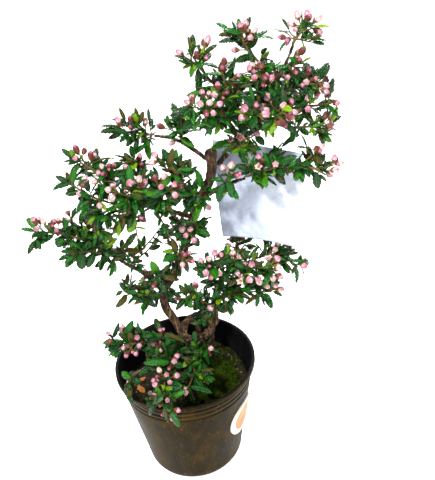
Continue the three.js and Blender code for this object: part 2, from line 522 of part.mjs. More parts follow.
function hitsPot(p, radius) {
  const out = Math.hypot(p.x, p.y);
  if (p.z - radius > POT.height) return false;
  const shell = potRadius(p.z);
  const inWall = out + radius > shell - POT.wall && out - radius < shell + POT.lip;
  return inWall || (out < shell && p.z - radius < groundTop(p.x, p.y));
}

function hitsLabel(p, radius) {
  const q = p.clone().applyMatrix4(labelPlace().invert());
  const inside = q.x > -radius && q.x < LABEL.width + radius && q.z < radius && q.z > -LABEL.height - radius;
  return inside && Math.abs(q.y - LABEL.bow / 2) < LABEL.bow / 2 + LABEL.thickness / 2 + radius;
}

// Whether a row of [point, radius] meets another piece
function blocked(row, owner) {
  const others = bars.filter((bar) => bar.owner !== owner);
  return row.some(([p, radius]) => {
    const room = radius + LEAF.margin;
    const meets = (bar) => nearestOn(bar, p).distanceTo(p) < bar.radius + room;
    return hitsPot(p, room) || hitsLabel(p, room) || others.some(meets);
  });
}

function between(points, step) {
  const filled = [];
  for (let i = 0; i + 1 < points.length; i++) {
    const parts = Math.max(1, Math.ceil(points[i].distanceTo(points[i + 1]) / step));
    for (let k = 0; k < parts; k++) filled.push(points[i].clone().lerp(points[i + 1], k / parts));
  }
  filled.push(points.at(-1).clone());
  return filled;
}

// A twig and its shoots are raised as one skin of four-cornered cells. A cell is four corners, counted
// against the clock as seen from outside. A shoot or a bud grows out of a cell and takes its place.
function cellCentre(skin, cell) {
  return cell.reduce((sum, c) => sum.add(skin.points[c]), new THREE.Vector3()).divideScalar(4);
}

function cellNormal(skin, cell) {
  const [a, b, c, d] = cell.map((i) => skin.points[i]);
  return c.clone().sub(a).cross(d.clone().sub(b)).normalize();
}

// The corners of a cell carried to a new centre and set square to the way along
function ringFrom(skin, cell, centre, along, radius) {
  const middle = cellCentre(skin, cell);
  return cell.map((c) => {
    const out = skin.points[c].clone().sub(middle);
    out.addScaledVector(along, -out.dot(along)).setLength(radius);
    return skin.points.push(centre.clone().add(out)) - 1;
  });
}

// The four side cells between two rings
function cellsBetween(lower, upper) {
  return lower.map((a, k) => [a, lower[(k + 1) % 4], upper[(k + 1) % 4], upper[k]]);
}

function closeCells(skin, cells) {
  skin.faces.push(...cellFaces(cells));
}

// Whether an edge p-q goes through a triangle
function pierces(p, q, [a, b, c]) {
  const way = q.clone().sub(p);
  const ray = new THREE.Ray(p, way.clone().normalize());
  const hit = ray.intersectTriangle(a, b, c, false, new THREE.Vector3());
  return hit !== null && hit.distanceTo(p) < way.length();
}

function cellFaces(cells) {
  return cells.flatMap(([a, b, c, d]) => [[a, b, c], [a, c, d]]);
}

// What grows is kept only if its new faces cross no face of its skin.
function tryGrow(grown, grow) {
  const { skin, open } = grown;
  const mark = { points: skin.points.length, faces: skin.faces.length };
  const cells = grow();
  const corners = (face) => ({ face, spots: face.map((i) => skin.points[i]) });
  const boxed = (item) => ({ ...item, box: new THREE.Box3().setFromPoints(item.spots) });
  const openFaces = cellFaces(open.map(({ cell }) => cell));
  const older = [...skin.faces.slice(0, mark.faces), ...openFaces].map(corners).map(boxed);
  const newer = [...skin.faces.slice(mark.faces), ...cellFaces(cells)].map(corners).map(boxed);
  const crossed = newer.some((a) =>
    [...older, ...newer].some((b) => {
      if (!a.box.intersectsBox(b.box) || a.face.some((i) => b.face.includes(i))) return false;
      const through = (x, y) => [0, 1, 2].some((k) => pierces(x.spots[k], x.spots[(k + 1) % 3], y.spots));
      return through(a, b) || through(b, a);
    }),
  );
  if (!crossed) return true;
  skin.points.length = mark.points;
  skin.faces.length = mark.faces;
  return false;
}

// Twigs. A twig starts just clear of the wood that bears it.
function twigCurve(spray, woodRoom) {
  const curve = curveThrough(spray.path.map(place));
  const stub = 0.8 / curve.getLength();
  let start = 0;
  for (let share = 0; share < 0.6; share += 0.01) {
    const ends = [curve.getPointAt(share), curve.getPointAt(share + stub)];
    if (!stem(ends, 4, () => TWIG.from).intersect(woodRoom).isEmpty()) start = share + 0.01;
  }
  const guides = [];
  for (let i = 0; i <= TWIG.guides; i++)
    guides.push(curve.getPointAt(Math.min(1, start + ((1 - start) * i) / TWIG.guides)));
  return curveThrough(guides);
}

// Where a shoot leaves its twig: a little before the point nearest its head, and never too near another joint
function jointAt(curve, head, taken) {
  const length = curve.getLength();
  let best = 0;
  for (let share = 0; share < 1; share += 0.02)
    if (curve.getPointAt(share).distanceTo(head) < curve.getPointAt(best).distanceTo(head)) best = share;
  const back = (0.5 * curve.getPointAt(best).distanceTo(head)) / length;
  const half = TWIG.joint / 2 / length;
  const wanted = Math.min(Math.max(best - back, 0.25), 1 - half);
  const near = taken.find((share) => Math.abs(share - wanted) < 3.2 * half);
  if (near !== undefined) return near;
  taken.push(wanted);
  return wanted;
}

function growTwig(spray, woodRoom) {
  const curve = twigCurve(spray, woodRoom);
  const length = curve.getLength();
  const half = TWIG.joint / 2 / length;
  const joints = [1 - half];
  const heads = spray.heads.map(([x, z, y, count]) => ({ spot: place([x, z, y]), count }));
  for (const head of heads) head.joint = jointAt(curve, head.spot, joints);
  joints.sort((a, b) => a - b);
  const stops = [0];
  for (const joint of joints) {
    const gap = (joint - half - stops.at(-1)) * length;
    const extra = Math.floor(gap / TWIG.span);
    const from = stops.at(-1);
    for (let i = 1; i <= extra; i++) stops.push(from + ((joint - half - from) * i) / (extra + 1));
    stops.push(joint - half, joint + half);
  }
  const points = stops.map((share) => curve.getPointAt(Math.min(share, 1)));
  return { spray, curve, joints, heads, stops, points, half };
}

// The skin of a twig, its shoots and their buds. Cells left open are kept for the leaves.
function growSkin(grown, draw) {
  const skin = { points: [], faces: [] };
  const { points, stops, joints, half, heads } = grown;
  grown.skin = skin;
  const frames = framesOf(points);
  const rings = points.map((p, i) => {
    const radius = TWIG.from + (TWIG.to - TWIG.from) * stops[i];
    return [0, 1, 2, 3].map((k) => {
      const turn = (Math.PI / 2) * k;
      const { across, other } = frames[i];
      const out = across.clone().multiplyScalar(Math.cos(turn)).addScaledVector(other, Math.sin(turn));
      return skin.points.push(p.clone().addScaledVector(out, radius)) - 1;
    });
  });
  closeCells(skin, [[...rings[0]].reverse()]);
  const joined = new Map(joints.map((joint) => [joint, []]));
  for (let i = 0; i + 1 < rings.length; i++) {
    const joint = joints.find((share) => Math.abs(share - half - stops[i]) < 1e-6);
    const cells = cellsBetween(rings[i], rings[i + 1]);
    if (i + 2 === rings.length) cells.push(rings[i + 1]);
    if (joint === undefined) closeCells(skin, cells);
    else joined.set(joint, cells.map((cell) => ({ cell, forward: frames[i].along })));
  }
  grown.open.push(...[...joined.values()].flat());
  for (const head of heads) {
    const open = joined.get(head.joint);
    open.sort((a, b) => facing(skin, a.cell, head.spot) - facing(skin, b.cell, head.spot));
    const best = open.at(-1);
    if (facing(skin, best.cell, head.spot) < 0.2) continue;
    grown.open.splice(grown.open.indexOf(best), 1);
    if (growShoot(skin, best.cell, head, grown, draw)) open.pop();
    else grown.open.push(best);
  }
}

// How squarely a cell faces a place
function facing(skin, cell, spot) {
  return spot.clone().sub(cellCentre(skin, cell)).normalize().dot(cellNormal(skin, cell));
}

function growShoot(skin, cell, head, grown, draw) {
  const base = cellCentre(skin, cell);
  const length = Math.max(2.2, base.distanceTo(head.spot) - BUD.length * 0.6);
  const along = head.spot.clone().sub(base).normalize();
  const tip = base.clone().addScaledVector(along, length);
  const hub = base.clone().addScaledVector(along, length - SHOOT.hub);
  const bend = base.clone().lerp(hub, 0.5).add(new THREE.Vector3(0, 0, -0.06 * length));
  const row = between([base.clone().lerp(hub, 0.3), tip], 1.2).map((p) => [p, SHOOT.radius]);
  if (blocked(row, grown.spray.name)) return false;
  const stops = length > SHOOT.longest ? [bend, hub, tip] : [hub, tip];
  let ends = [];
  const grows = tryGrow(grown, () => {
    let lower = cell;
    for (const stop of stops) {
      const upper = ringFrom(skin, lower, stop, along, SHOOT.radius);
      const cells = cellsBetween(lower, upper);
      if (stop === tip) ends = [upper, ...cells];
      else closeCells(skin, cells);
      lower = upper;
    }
    return ends;
  });
  if (!grows) return false;
  addBars([base, ...stops], SHOOT.radius, grown.spray.name, "stem");
  growBuds(skin, ends, along, head.count, grown, draw);
  grown.shoots.push([base, ...stops]);
  return true;
}

// Buds on the end of a shoot: one straight on, the others out of its side cells
function growBuds(skin, cells, along, count, grown, draw) {
  const turn = Math.floor(4 * draw());
  const order = [0, 1 + turn, 1 + ((turn + 2) % 4), 1 + ((turn + 1) % 4), 1 + ((turn + 3) % 4)];
  const plain = new Set(cells);
  let left = count;
  for (const index of order) {
    if (left === 0) break;
    const cell = cells[index];
    const base = cellCentre(skin, cell);
    const size = 0.85 + 0.25 * draw();
    const aim = along.clone();
    if (index > 0) {
      const out = cellNormal(skin, cell);
      out.addScaledVector(along, -out.dot(along)).normalize();
      aim.multiplyScalar(Math.cos(BUD.spread)).addScaledVector(out, Math.sin(BUD.spread));
    }
    const belly = base.clone().addScaledVector(aim, BUD.belly * BUD.length * size);
    const tip = base.clone().addScaledVector(aim, BUD.length * size);
    const radius = BUD.radius * size;
    if (blocked([[belly, radius], [tip, 0.3]], grown.spray.name)) continue;
    const grows = tryGrow(grown, () => {
      const ring = ringFrom(skin, cell, belly, aim, radius);
      closeCells(skin, cellsBetween(cell, ring));
      const top = skin.points.push(tip) - 1;
      for (let k = 0; k < 4; k++) skin.faces.push([ring[k], ring[(k + 1) % 4], top]);
      return [...plain].filter((other) => other !== cell);
    });
    if (!grows) continue;
    addBars([base, tip], radius, grown.spray.name, "bud");
    plain.delete(cell);
    left -= 1;
  }
  grown.open.push(...[...plain].map((cell) => ({ cell, forward: along })));
}

// A leaf grows out of a cell too. Places along it, each with a half width as a share of its width.
// The edge is cut: a broad lobe, a notch and a tooth a side.
const LEAF_EDGE = [[0.3, 0.5], [0.5, 0.31], [0.66, 0.43]];
const LEAF_ROOM = [[0.3, 0.45], [0.5, 0.35], [0.72, 0.4], [0.95, 0.1]]; // kept free of other stems and leaves
const LIGHT = new THREE.Vector3(0, -0.55, 0.84);

function leafAt({ base, tip, lift }, share) {
  const arch = 4 * LEAF.arch * base.distanceTo(tip) * share * (1 - share);
  return base.clone().lerp(tip, share).addScaledVector(lift, arch);
}

// The blade lies across the first side of its cell. Of the cell's two ways round, the one that turns the
// blade more to the light is used.
function leafFrom(skin, cell, tip, width) {
  const base = cellCentre(skin, cell);
  const along = tip.clone().sub(base).normalize();
  const ways = [cell, [...cell.slice(1), cell[0]]].map((corners) => {
    const across = skin.points[corners[1]].clone().sub(skin.points[corners[0]]);
    across.addScaledVector(along, -across.dot(along)).normalize();
    return { corners, across, up: across.clone().cross(along).negate() };
  });
  ways.sort((a, b) => Math.abs(b.up.dot(LIGHT)) - Math.abs(a.up.dot(LIGHT)));
  const { corners, across, up } = ways[0];
  const rise = skin.points[corners[3]].clone().sub(skin.points[corners[0]]);
  if (rise.dot(up) < 0) up.negate();
  const lift = up.clone().multiplyScalar(Math.sign(up.dot(LIGHT)) || 1);
  return { base, tip, corners, across, up, lift, width };
}

function growLeaf(skin, leaf) {
  let lower = leaf.corners;
  for (const [share, wide] of LEAF_EDGE) {
    const centre = leafAt(leaf, share);
    const upper = [[-1, -1], [1, -1], [1, 1], [-1, 1]].map(([side, face]) => {
      const corner = centre.clone().addScaledVector(leaf.across, side * wide * leaf.width);
      return skin.points.push(corner.addScaledVector(leaf.up, (face * LEAF.thickness) / 2)) - 1;
    });
    closeCells(skin, cellsBetween(lower, upper));
    lower = upper;
  }
  const tip = skin.points.push(leaf.tip.clone()) - 1;
  for (let k = 0; k < 4; k++) skin.faces.push([lower[k], lower[(k + 1) % 4], tip]);
  return [];
}

// A leaf is tried where it would stand, and grows there if it meets nothing.
function tryLeaf(grown, open, tip, width) {
  const leaf = leafFrom(grown.skin, open.cell, tip, width);
  const row = LEAF_ROOM.map(([share, wide]) => [leafAt(leaf, share), width * wide]);
  if (blocked(row, grown.spray.name)) return false;
  const spot = grown.open.indexOf(open);
  grown.open.splice(spot, 1);
  if (!tryGrow(grown, () => growLeaf(grown.skin, leaf))) {
    grown.open.splice(spot, 0, open);
    return false;
  }
  addBars([leafAt(leaf, 0.2), leafAt(leaf, 0.6), leafAt(leaf, 0.95)], 0.4 * width, grown.spray.name, "leaf");
  grown.leaves += 1;
  return true;
}

// Large leaves reach the place of their tip from the open cell that suits it best.
function ownLeaves(grown) {
  for (const [x, z, y, width] of grown.spray.leaves) {
    const tip = place([x, z, y]);
    const suits = ({ cell }) => {
      const far = cellCentre(grown.skin, cell).distanceTo(tip);
      return far < 5 ? 99 : far + 12 * (1 - facing(grown.skin, cell, tip));
    };
    const best = [...grown.open].sort((a, b) => suits(a) - suits(b)).slice(0, 6);
    best.some((open) => facing(grown.skin, open.cell, tip) > 0.15 && tryLeaf(grown, open, tip, width));
  }
}

// Small leaves stand on open cells, leaning forward and drooping a little.
function smallLeaves(grown, draw) {
  for (const open of [...grown.open]) {
    const chance = draw();
    const length = LEAF.shortest + (LEAF.longest - LEAF.shortest) * draw();
    const lean = 0.3 + 0.7 * draw();
    if (chance > LEAF.odds) continue;
    const aim = cellNormal(grown.skin, open.cell).addScaledVector(open.forward, lean);
    aim.z -= 0.2;
    const tip = cellCentre(grown.skin, open.cell).addScaledVector(aim.normalize(), length);
    tryLeaf(grown, open, tip, LEAF.slim * length);
  }
}

// First all twigs, then the shoots with their buds, then the leaves, so that wood never gives way to a leaf.
// Sprays of one name grow together as one piece.
function growSprays(woodRoom) {
  for (const { points, from, to } of woodStems())
    points.slice(1).forEach((p, i) => {
      const radius = from + ((to - from) * i) / (points.length - 1);
      addBars([points[i], p], radius, "wood", "stem");
    });
  addBars([...loopPoints(0, 0.5), ...loopPoints(0.5, 1)], LOOP.wide, "wood", "stem");
  const sprays = SPRAYS.map((spray) => ({ ...growTwig(spray, woodRoom), shoots: [], open: [], leaves: 0 }));
  for (const grown of sprays) addBars(grown.points, TWIG.from, grown.spray.name, "stem");
  sprays.forEach((grown, i) => growSkin(grown, drawFrom(101 + 7 * i)));
  for (const grown of sprays) ownLeaves(grown);
  sprays.forEach((grown, i) => smallLeaves(grown, drawFrom(5003 + 11 * i)));
  for (const { skin, open } of sprays) closeCells(skin, open.map(({ cell }) => cell));
  return sprays;
}

// The paper label hangs at the upper limb, and its top left corner is cut away where the limb crosses it.
// Its own frame starts where that corner would be, with x along the top edge and -z down the left edge.
function labelPlace() {
  const turn = new THREE.Matrix4().makeRotationZ(-LABEL.yaw);
  turn.multiply(new THREE.Matrix4().makeRotationY(LABEL.roll));
  return new THREE.Matrix4().makeTranslation(place(LABEL.corner)).multiply(turn);
}

function makeLabel(trunkRoom) {
  const { width, height, thickness, bow } = LABEL;
  const card = new THREE.BoxGeometry(width, thickness, height, 8, 1, 1).translate(width / 2, 0, -height / 2);
  const spots = card.attributes.position;
  for (let i = 0; i < spots.count; i++) {
    const bulge = bow * Math.sin((Math.PI * spots.getX(i)) / width);
    spots.setY(i, spots.getY(i) + bulge);
  }
  return mainBody(solidOf(card.applyMatrix4(labelPlace())).subtract(trunkRoom));
}

// A round sticker, wrapped on the wall of the pot
function makeSticker() {
  const lean = Math.atan((POT.rimRadius - POT.baseRadius) / POT.height);
  const layer = (extra) => (u, v) => {
    const z = STICKER.height + STICKER.radius * v * Math.cos(lean);
    const turn = STICKER.around + (STICKER.radius * u) / potRadius(STICKER.height);
    const r = potRadius(z) + GAP + extra;
    return new THREE.Vector3(r * Math.cos(turn), r * Math.sin(turn), z);
  };
  return slab(layer(STICKER.thickness), layer(0), { segments: 16, highRings: 2, lowRings: 2 });
}

function makeChip(x, y, size, turn) {
  const chip = new THREE.DodecahedronGeometry(1, 0);
  chip.scale(...size).rotateZ(turn);
  const lowest = 0.95 * size[2];
  chip.translate(x, y, groundTop(x, y) + GAP + lowest + 0.25);
  return solidOf(chip);
}

// Scene graph
function material(color, roughness) {
  return new THREE.MeshStandardMaterial({ color, roughness, metalness: 0 });
}

const MATERIALS = {
  plastic: material(0x37322a, 0.55),
  soil: material(0x2c2119, 0.95),
  moss: material(0x3f5216, 0.95),
  bark: material(0x4a3423, 0.85),
  leaf: material(0x1c5a2c, 0.4),
  paper: material(0xeef0f6, 0.7),
  chip: material(0x9a5a22, 0.9),
  pellet: material(0xa7a783, 0.6),
};

const tree = new THREE.Group();

function add(name, solid, look) {
  const mesh = new THREE.Mesh(geometryOf(solid), MATERIALS[look]);
  mesh.name = name;
  tree.add(mesh);
}

const woodRoom = woodSolid(GAP);
add("pot", makePot(), "plastic");
add("sticker", makeSticker(), "paper");
add("soil", mainBody(soilBody().subtract(woodRoom)), "soil");
add("moss", makeMoss(woodRoom), "moss");
add("bark_chip_left", makeChip(-30.5, 3, [3.4, 1.5, 1], 0.5), "chip");
add("bark_chip_front", makeChip(-30.4, -5.6, [4.6, 2.2, 1.2], -0.9), "chip");
add("fertiliser_pellet", makeChip(-24.4, -10.6, [1.7, 1.7, 1.6], 0), "pellet");
add("trunk", woodSolid(0), "bark");
add("label", makeLabel(woodRoom), "paper");
const sprays = growSprays(woodRoom);
for (const name of new Set(sprays.map(({ spray }) => spray.name))) {
  const skins = sprays.filter(({ spray }) => spray.name === name).map(({ skin }) => skin);
  add(name, mainBody(fuse(skins.map(({ points, faces }) => solidFrom(points, faces)))), "leaf");
}

export default tree;
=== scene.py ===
import random
from math import atan, atan2, cos, exp, hypot, pi, radians, sin, sqrt, tau
from types import SimpleNamespace as Values

import bmesh
import bpy
from mathutils import Matrix, Vector, noise
from mathutils.bvhtree import BVHTree


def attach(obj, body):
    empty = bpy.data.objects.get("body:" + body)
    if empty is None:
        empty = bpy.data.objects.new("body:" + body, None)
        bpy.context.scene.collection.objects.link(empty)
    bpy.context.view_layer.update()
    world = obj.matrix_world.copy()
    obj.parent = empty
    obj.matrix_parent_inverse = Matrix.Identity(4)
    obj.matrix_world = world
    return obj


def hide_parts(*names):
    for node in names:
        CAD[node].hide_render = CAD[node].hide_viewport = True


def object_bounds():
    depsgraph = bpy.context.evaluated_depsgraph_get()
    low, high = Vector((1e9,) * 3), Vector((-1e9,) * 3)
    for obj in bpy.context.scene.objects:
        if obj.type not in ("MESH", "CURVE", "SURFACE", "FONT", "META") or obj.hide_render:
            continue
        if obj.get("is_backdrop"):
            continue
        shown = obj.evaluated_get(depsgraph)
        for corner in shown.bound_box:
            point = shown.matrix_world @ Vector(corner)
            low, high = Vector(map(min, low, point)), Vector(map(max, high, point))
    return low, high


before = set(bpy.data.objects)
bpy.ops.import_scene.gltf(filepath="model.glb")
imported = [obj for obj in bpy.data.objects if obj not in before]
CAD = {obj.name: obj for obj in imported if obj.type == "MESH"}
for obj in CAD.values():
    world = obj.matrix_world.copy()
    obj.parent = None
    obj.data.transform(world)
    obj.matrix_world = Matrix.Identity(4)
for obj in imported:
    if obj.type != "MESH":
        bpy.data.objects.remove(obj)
cad_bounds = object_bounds()

# All sizes are in metres, and Z is up.
MM = 0.001

# Pot, soil and moss
POT = Values(height=80 * MM, rim=44 * MM, base=31 * MM, wall=1 * MM, corner=9 * MM, lip=1 * MM,
             lip_height=3 * MM, groove=0.7 * MM, around=144, wave=0.12 * MM)
GROOVES = [66 * MM, 70 * MM, 74 * MM]
# A groove from below: millimetres above its foot, and share of its depth
GROOVE_SHAPE = [(-0.5, 0), (0, 0), (0.6, 0.8), (1.2, 1), (1.8, 0.2)]
DRAINS = Values(count=5, radius=3 * MM, out=17 * MM)
SOIL = Values(level=60 * MM, mound=9 * MM, spread=15 * MM, x=8 * MM, y=14 * MM, gap=0.3 * MM)
MOSS = Values(x=18.5 * MM, y=-5 * MM, radius=15 * MM, squash=1.3, thick=2.6 * MM, strands=9000, around=72,
              rings=24)
GROUND = Values(around=128, rings=52, grains=900, moss=16000)
LUMP = Values(least=-0.22, most=0.12, tilt=0.6)

# Wood
BARK_CELL = 0.45 * MM
STUB = Values(x=28.5 * MM, z=219.5 * MM, y=3 * MM, radius=3.1 * MM, dome=2.4 * MM, swell=0.7 * MM,
              near=6 * MM)
LOOP = Values(x=9 * MM, y=17 * MM, z=90 * MM, radius=9.5 * MM, strands=5, twists=2.5, tilt=2.5 * MM,
              near=6 * MM, strand=1.7, furrow=1.1)

# How the ends of the solids' leaves and buds are told: edges no more uneven and no shorter than this, and
# for a leaf its least and its third gap, and the width of its blade at the ring that is read
ENDS = Values(even=1.35, edge=1.0 * MM, flat=0.9 * MM, wide=1.6 * MM, blade=0.86)
ROOT = Values(deep=0.6 * MM, flare=1.25)
CLEAR = Values(start=0.12, near=1.1 * MM, inside=0.4 * MM)

# Leaves and buds
STANDPOINT = Vector((28, -298, 337)) * MM
LEAF = Values(blade=0.32 * MM, fold=0.34, curl=0.4, slim=0.39, ripple=0.16)
# Rows along a leaf and half its points across, the length and the cut of its lobes, and its quilting
LARGE = Values(steps=24, half=3, lobe=0.115, cut=0.12, notch=0.14, quilt=0.07)
SMALL = Values(steps=13, half=2, lobe=0.2, cut=0.07, notch=0.0, quilt=0.0)
SMALL_LEAF = Values(short=5 * MM, long=11.5 * MM, room=8.6 * MM ** 2)
SPRIG = Values(room=16 * MM ** 2, short=3.5 * MM, long=8 * MM, leaves=4, thick=0.42 * MM, thin=0.24 * MM)
LOW_SPRAY = Values(sparse=2.2, slim=1.2)
SPARSE = {"basal_right": 1.1, "right_low_upper": 1.15, "right_low_inner": 1.2, "right_low_front": 1.15}
BACK = 15 * MM
BUD_ROOM = 2.6 * MM
LARGE_LEAF = 11 * MM
OPEN_SHARE = 0.05
BUD_SLIM = 0.76
BUD_AROUND = 10
BELLY = 0.64
PALE = Values(nodes=("right_low", "crown_front", "left_mid_front"), tone=0.42, slim=0.92)
COVERING = 0.55
BESIDE_SHARE = 0.25

# Thin shoots that the solids leave out: the spray that each grows from, its places as x and z on the plane
# y = 0, seen from the standpoint, and its depth
WISP = Values(thick=0.62 * MM, thin=0.36 * MM, leaves=6)
WISPS = [("left_mid_under", [(-22, 192), (-27, 185), (-31, 175), (-35, 167.5)], -5),
         ("left_mid_under", [(-40, 189), (-40.5, 178.5), (-38.5, 172), (-36.5, 166)], -3),
         ("left_mid_under", [(-19, 191), (-17.5, 182), (-17.3, 171)], -8),
         ("low_left_inner", [(-22.5, 159), (-16, 163), (-9, 170), (-4, 176)], 3),
         ("low_left_inner", [(-20, 157), (-13, 162), (-4.5, 172)], 5),
         ("left_mid_inner", [(-5, 188), (-1, 177), (2, 166)], -4)]

# Label and sticker
LABEL = Values(x=30 * MM, z=225.5 * MM, y=14 * MM, width=52 * MM, height=57 * MM, yaw=0.54, roll=0.03,
               sheet=0.36 * MM, bow=1.2 * MM, crease=0.5 * MM, cells=60, drop=3.5 * MM, room=0.35 * MM)
STICKER = Values(around=-0.48, height=43.5 * MM, radius=14 * MM, thick=0.6 * MM, gap=0.3 * MM, around_it=96,
                 rings=14)

# The pieces that stand for the chips and the pellet
BITS = {"bark_chip_left": "chip_left", "bark_chip_front": "chip_front", "fertiliser_pellet": "pellet_ball"}

# Places where the photograph shows young, bright leaves: x and z on the plane y = 0, seen from the standpoint
YOUNG = [(42, 216), (47.5, 218), (-9, 201), (17, 257), (20, 262), (60, 225), (-31, 172), (-19, 173),
         (-9, 160)]
YOUNG_REACH = 4.5 * MM
# Usual leaf tone above and below a height: the lower leaves are darker as painted shade
LEAF_TONE = Values(high=0.4, low=0.34, above=175 * MM)

# Lights as place, aim, size and power, and the camera
LIGHTS = {"key": ((-0.25, -0.5, 0.85), (0.01, 0, 0.15), 0.12, 14.5),
          "fill": ((0.5, -0.6, 0.6), (0.01, 0, 0.15), 0.3, 5.5),
          "back": ((0.1, 0.6, 0.8), (0.01, 0, 0.18), 0.2, 8)}
FLOOR_SIZE = 6
CAMERA = Values(place=(0.0278, -0.298, 0.337), pitch=60, roll=-5.2, lens=45, sensor=36, near=0.01)


def tint(red, green, blue):
    """A colour given as a screen shows it, 0 to 255, as the linear colour that the shaders use"""
    def linear(value):
        share = value / 255
        return share / 12.92 if share <= 0.04045 else ((share + 0.055) / 1.055) ** 2.4
    return (linear(red), linear(green), linear(blue), 1.0)


class Look:
    """A material whose colour, roughness and relief come from nodes"""

    def __init__(self, name, specular):
        self.material = bpy.data.materials.new(name)
        self.material.use_nodes = True
        self.tree = self.material.node_tree
        self.shader = self.tree.nodes["Principled BSDF"]
        self.shader.inputs["Specular IOR Level"].default_value = specular
        self.space = self.tree.nodes.new("ShaderNodeTexCoord").outputs["Object"]
        self.relief = None

    def node(self, kind, feeds, **settings):
        made = self.tree.nodes.new("ShaderNode" + kind)
        for name, value in settings.items():
            setattr(made, name, value)
        for slot, feed in feeds.items():
            self.feed(made.inputs[slot], feed)
        return made

    def feed(self, socket, value):
        if isinstance(value, bpy.types.NodeSocket):
            self.tree.links.new(value, socket)
        elif value is not None:
            socket.default_value = value

    def mark(self, name):
        """A number that the mesh carries at each of its points"""
        return self.node("Attribute", {}, attribute_name=name).outputs["Fac"]

    def place(self, per_mm, stretch):
        scale = [per_mm * share / MM for share in stretch]
        return self.node("Mapping", {"Vector": self.space, "Scale": scale}).outputs[0]

    def grain(self, per_mm, stretch=(1, 1, 1), detail=3.0):
        """Soft noise, with its size as features a millimetre"""
        feeds = {"Vector": self.place(per_mm, stretch), "Scale": 1.0, "Detail": detail}
        return self.node("TexNoise", feeds).outputs["Fac"]

    def cells(self, per_mm, feature="F1", stretch=(1, 1, 1)):
        feeds = {"Vector": self.place(per_mm, stretch), "Scale": 1.0}
        return self.node("TexVoronoi", feeds, feature=feature).outputs["Distance"]

    def sum(self, operation, first, second=None, third=None):
        return self.node("Math", {0: first, 1: second, 2: third}, operation=operation).outputs[0]

    def fit(self, value, low, high, out_low=0.0, out_high=1.0):
        return self.node("MapRange", {0: value, 1: low, 2: high, 3: out_low, 4: out_high}).outputs[0]

    def ramp(self, value, stops):
        """Colours along a value, each stop as its place and what a screen shows"""
        made = self.node("ValToRGB", {0: value})
        band = made.color_ramp
        while len(band.elements) < len(stops):
            band.elements.new(0.5)
        for element, (spot, *shade) in zip(band.elements, stops):
            element.position = spot
            element.color = tint(*shade)
        return made.outputs["Color"]

    def mix(self, share, first, second, blend="MIX"):
        feeds = {0: share, 6: first, 7: second}
        return self.node("Mix", feeds, data_type="RGBA", blend_type=blend).outputs[2]

    def colour(self, value):
        self.feed(self.shader.inputs["Base Color"], value)

    def rough(self, value, low, high):
        self.feed(self.shader.inputs["Roughness"], self.fit(value, 0.3, 0.7, low, high))

    def raise_by(self, value, depth, strength=1.0):
        """Relief of a depth in metres, on top of the relief that is there"""
        feeds = {"Strength": strength, "Distance": depth, "Height": value, "Normal": self.relief}
        self.relief = self.node("Bump", feeds).outputs["Normal"]
        self.feed(self.shader.inputs["Normal"], self.relief)


def vein_net(look):
    """1 on the midrib and the side veins of a leaf, and 0 between them"""
    along = look.mark("along")
    across = look.mark("across")
    slant = look.sum("MULTIPLY_ADD", across, -0.11, along)
    saw = look.sum("PINGPONG", slant, 0.05)
    side = look.fit(saw, 0.0, 0.017, 1.0, 0.0)
    rib = look.fit(across, 0.04, 0.16, 1.0, 0.0)
    return look.sum("MAXIMUM", look.sum("MULTIPLY", side, 0.75), rib)


def make_leaf_top():
    look = Look("leaf_top", 0.27)
    tone = look.mark("tone")
    base = look.ramp(tone, [(0.0, 60, 48, 8), (0.05, 30, 44, 0), (0.2, 2, 38, 0),
                            (0.33, 0, 52, 14), (0.46, 0, 64, 4), (0.6, 4, 84, 0),
                            (0.8, 48, 108, 0), (1.0, 118, 152, 0)])
    patch = look.grain(0.9, detail=2.0)
    shaded = look.mix(look.fit(patch, 0.35, 0.7), base, tint(10, 60, 26), "MULTIPLY")
    mixed = look.mix(look.fit(patch, 0.35, 0.75, 0.35, 0.0), base, shaded)
    veins = vein_net(look)
    look.colour(look.mix(look.sum("MULTIPLY", veins, 0.25), mixed, tint(70, 130, 30)))
    look.rough(look.grain(2.5), 0.16, 0.32)
    look.raise_by(look.sum("SUBTRACT", 1.0, veins), 0.2 * MM, 0.9)
    look.raise_by(look.cells(1.5, "SMOOTH_F1"), 0.4 * MM, 1.0)
    return look.material


def make_leaf_under():
    look = Look("leaf_under", 0.3)
    tone = look.mark("tone")
    base = look.ramp(tone, [(0.0, 46, 66, 26), (0.6, 70, 92, 38), (1.0, 112, 132, 50)])
    veins = vein_net(look)
    look.colour(look.mix(look.sum("MULTIPLY", veins, 0.5), base, tint(140, 150, 90)))
    look.rough(look.grain(2.5), 0.55, 0.75)
    look.raise_by(veins, 0.2 * MM, 0.9)
    look.raise_by(look.grain(4.0), 0.1 * MM, 0.6)
    return look.material


def make_twig():
    look = Look("twig", 0.3)
    patch = look.grain(0.25, detail=4.0)
    look.colour(look.ramp(patch, [(0.3, 56, 32, 18), (0.45, 84, 58, 30), (0.58, 84, 76, 26),
                                  (0.72, 58, 80, 20)]))
    look.rough(look.grain(1.5), 0.55, 0.8)
    look.raise_by(look.grain(2.0, (1, 1, 0.4), 5.0), 0.25 * MM, 0.9)
    return look.material


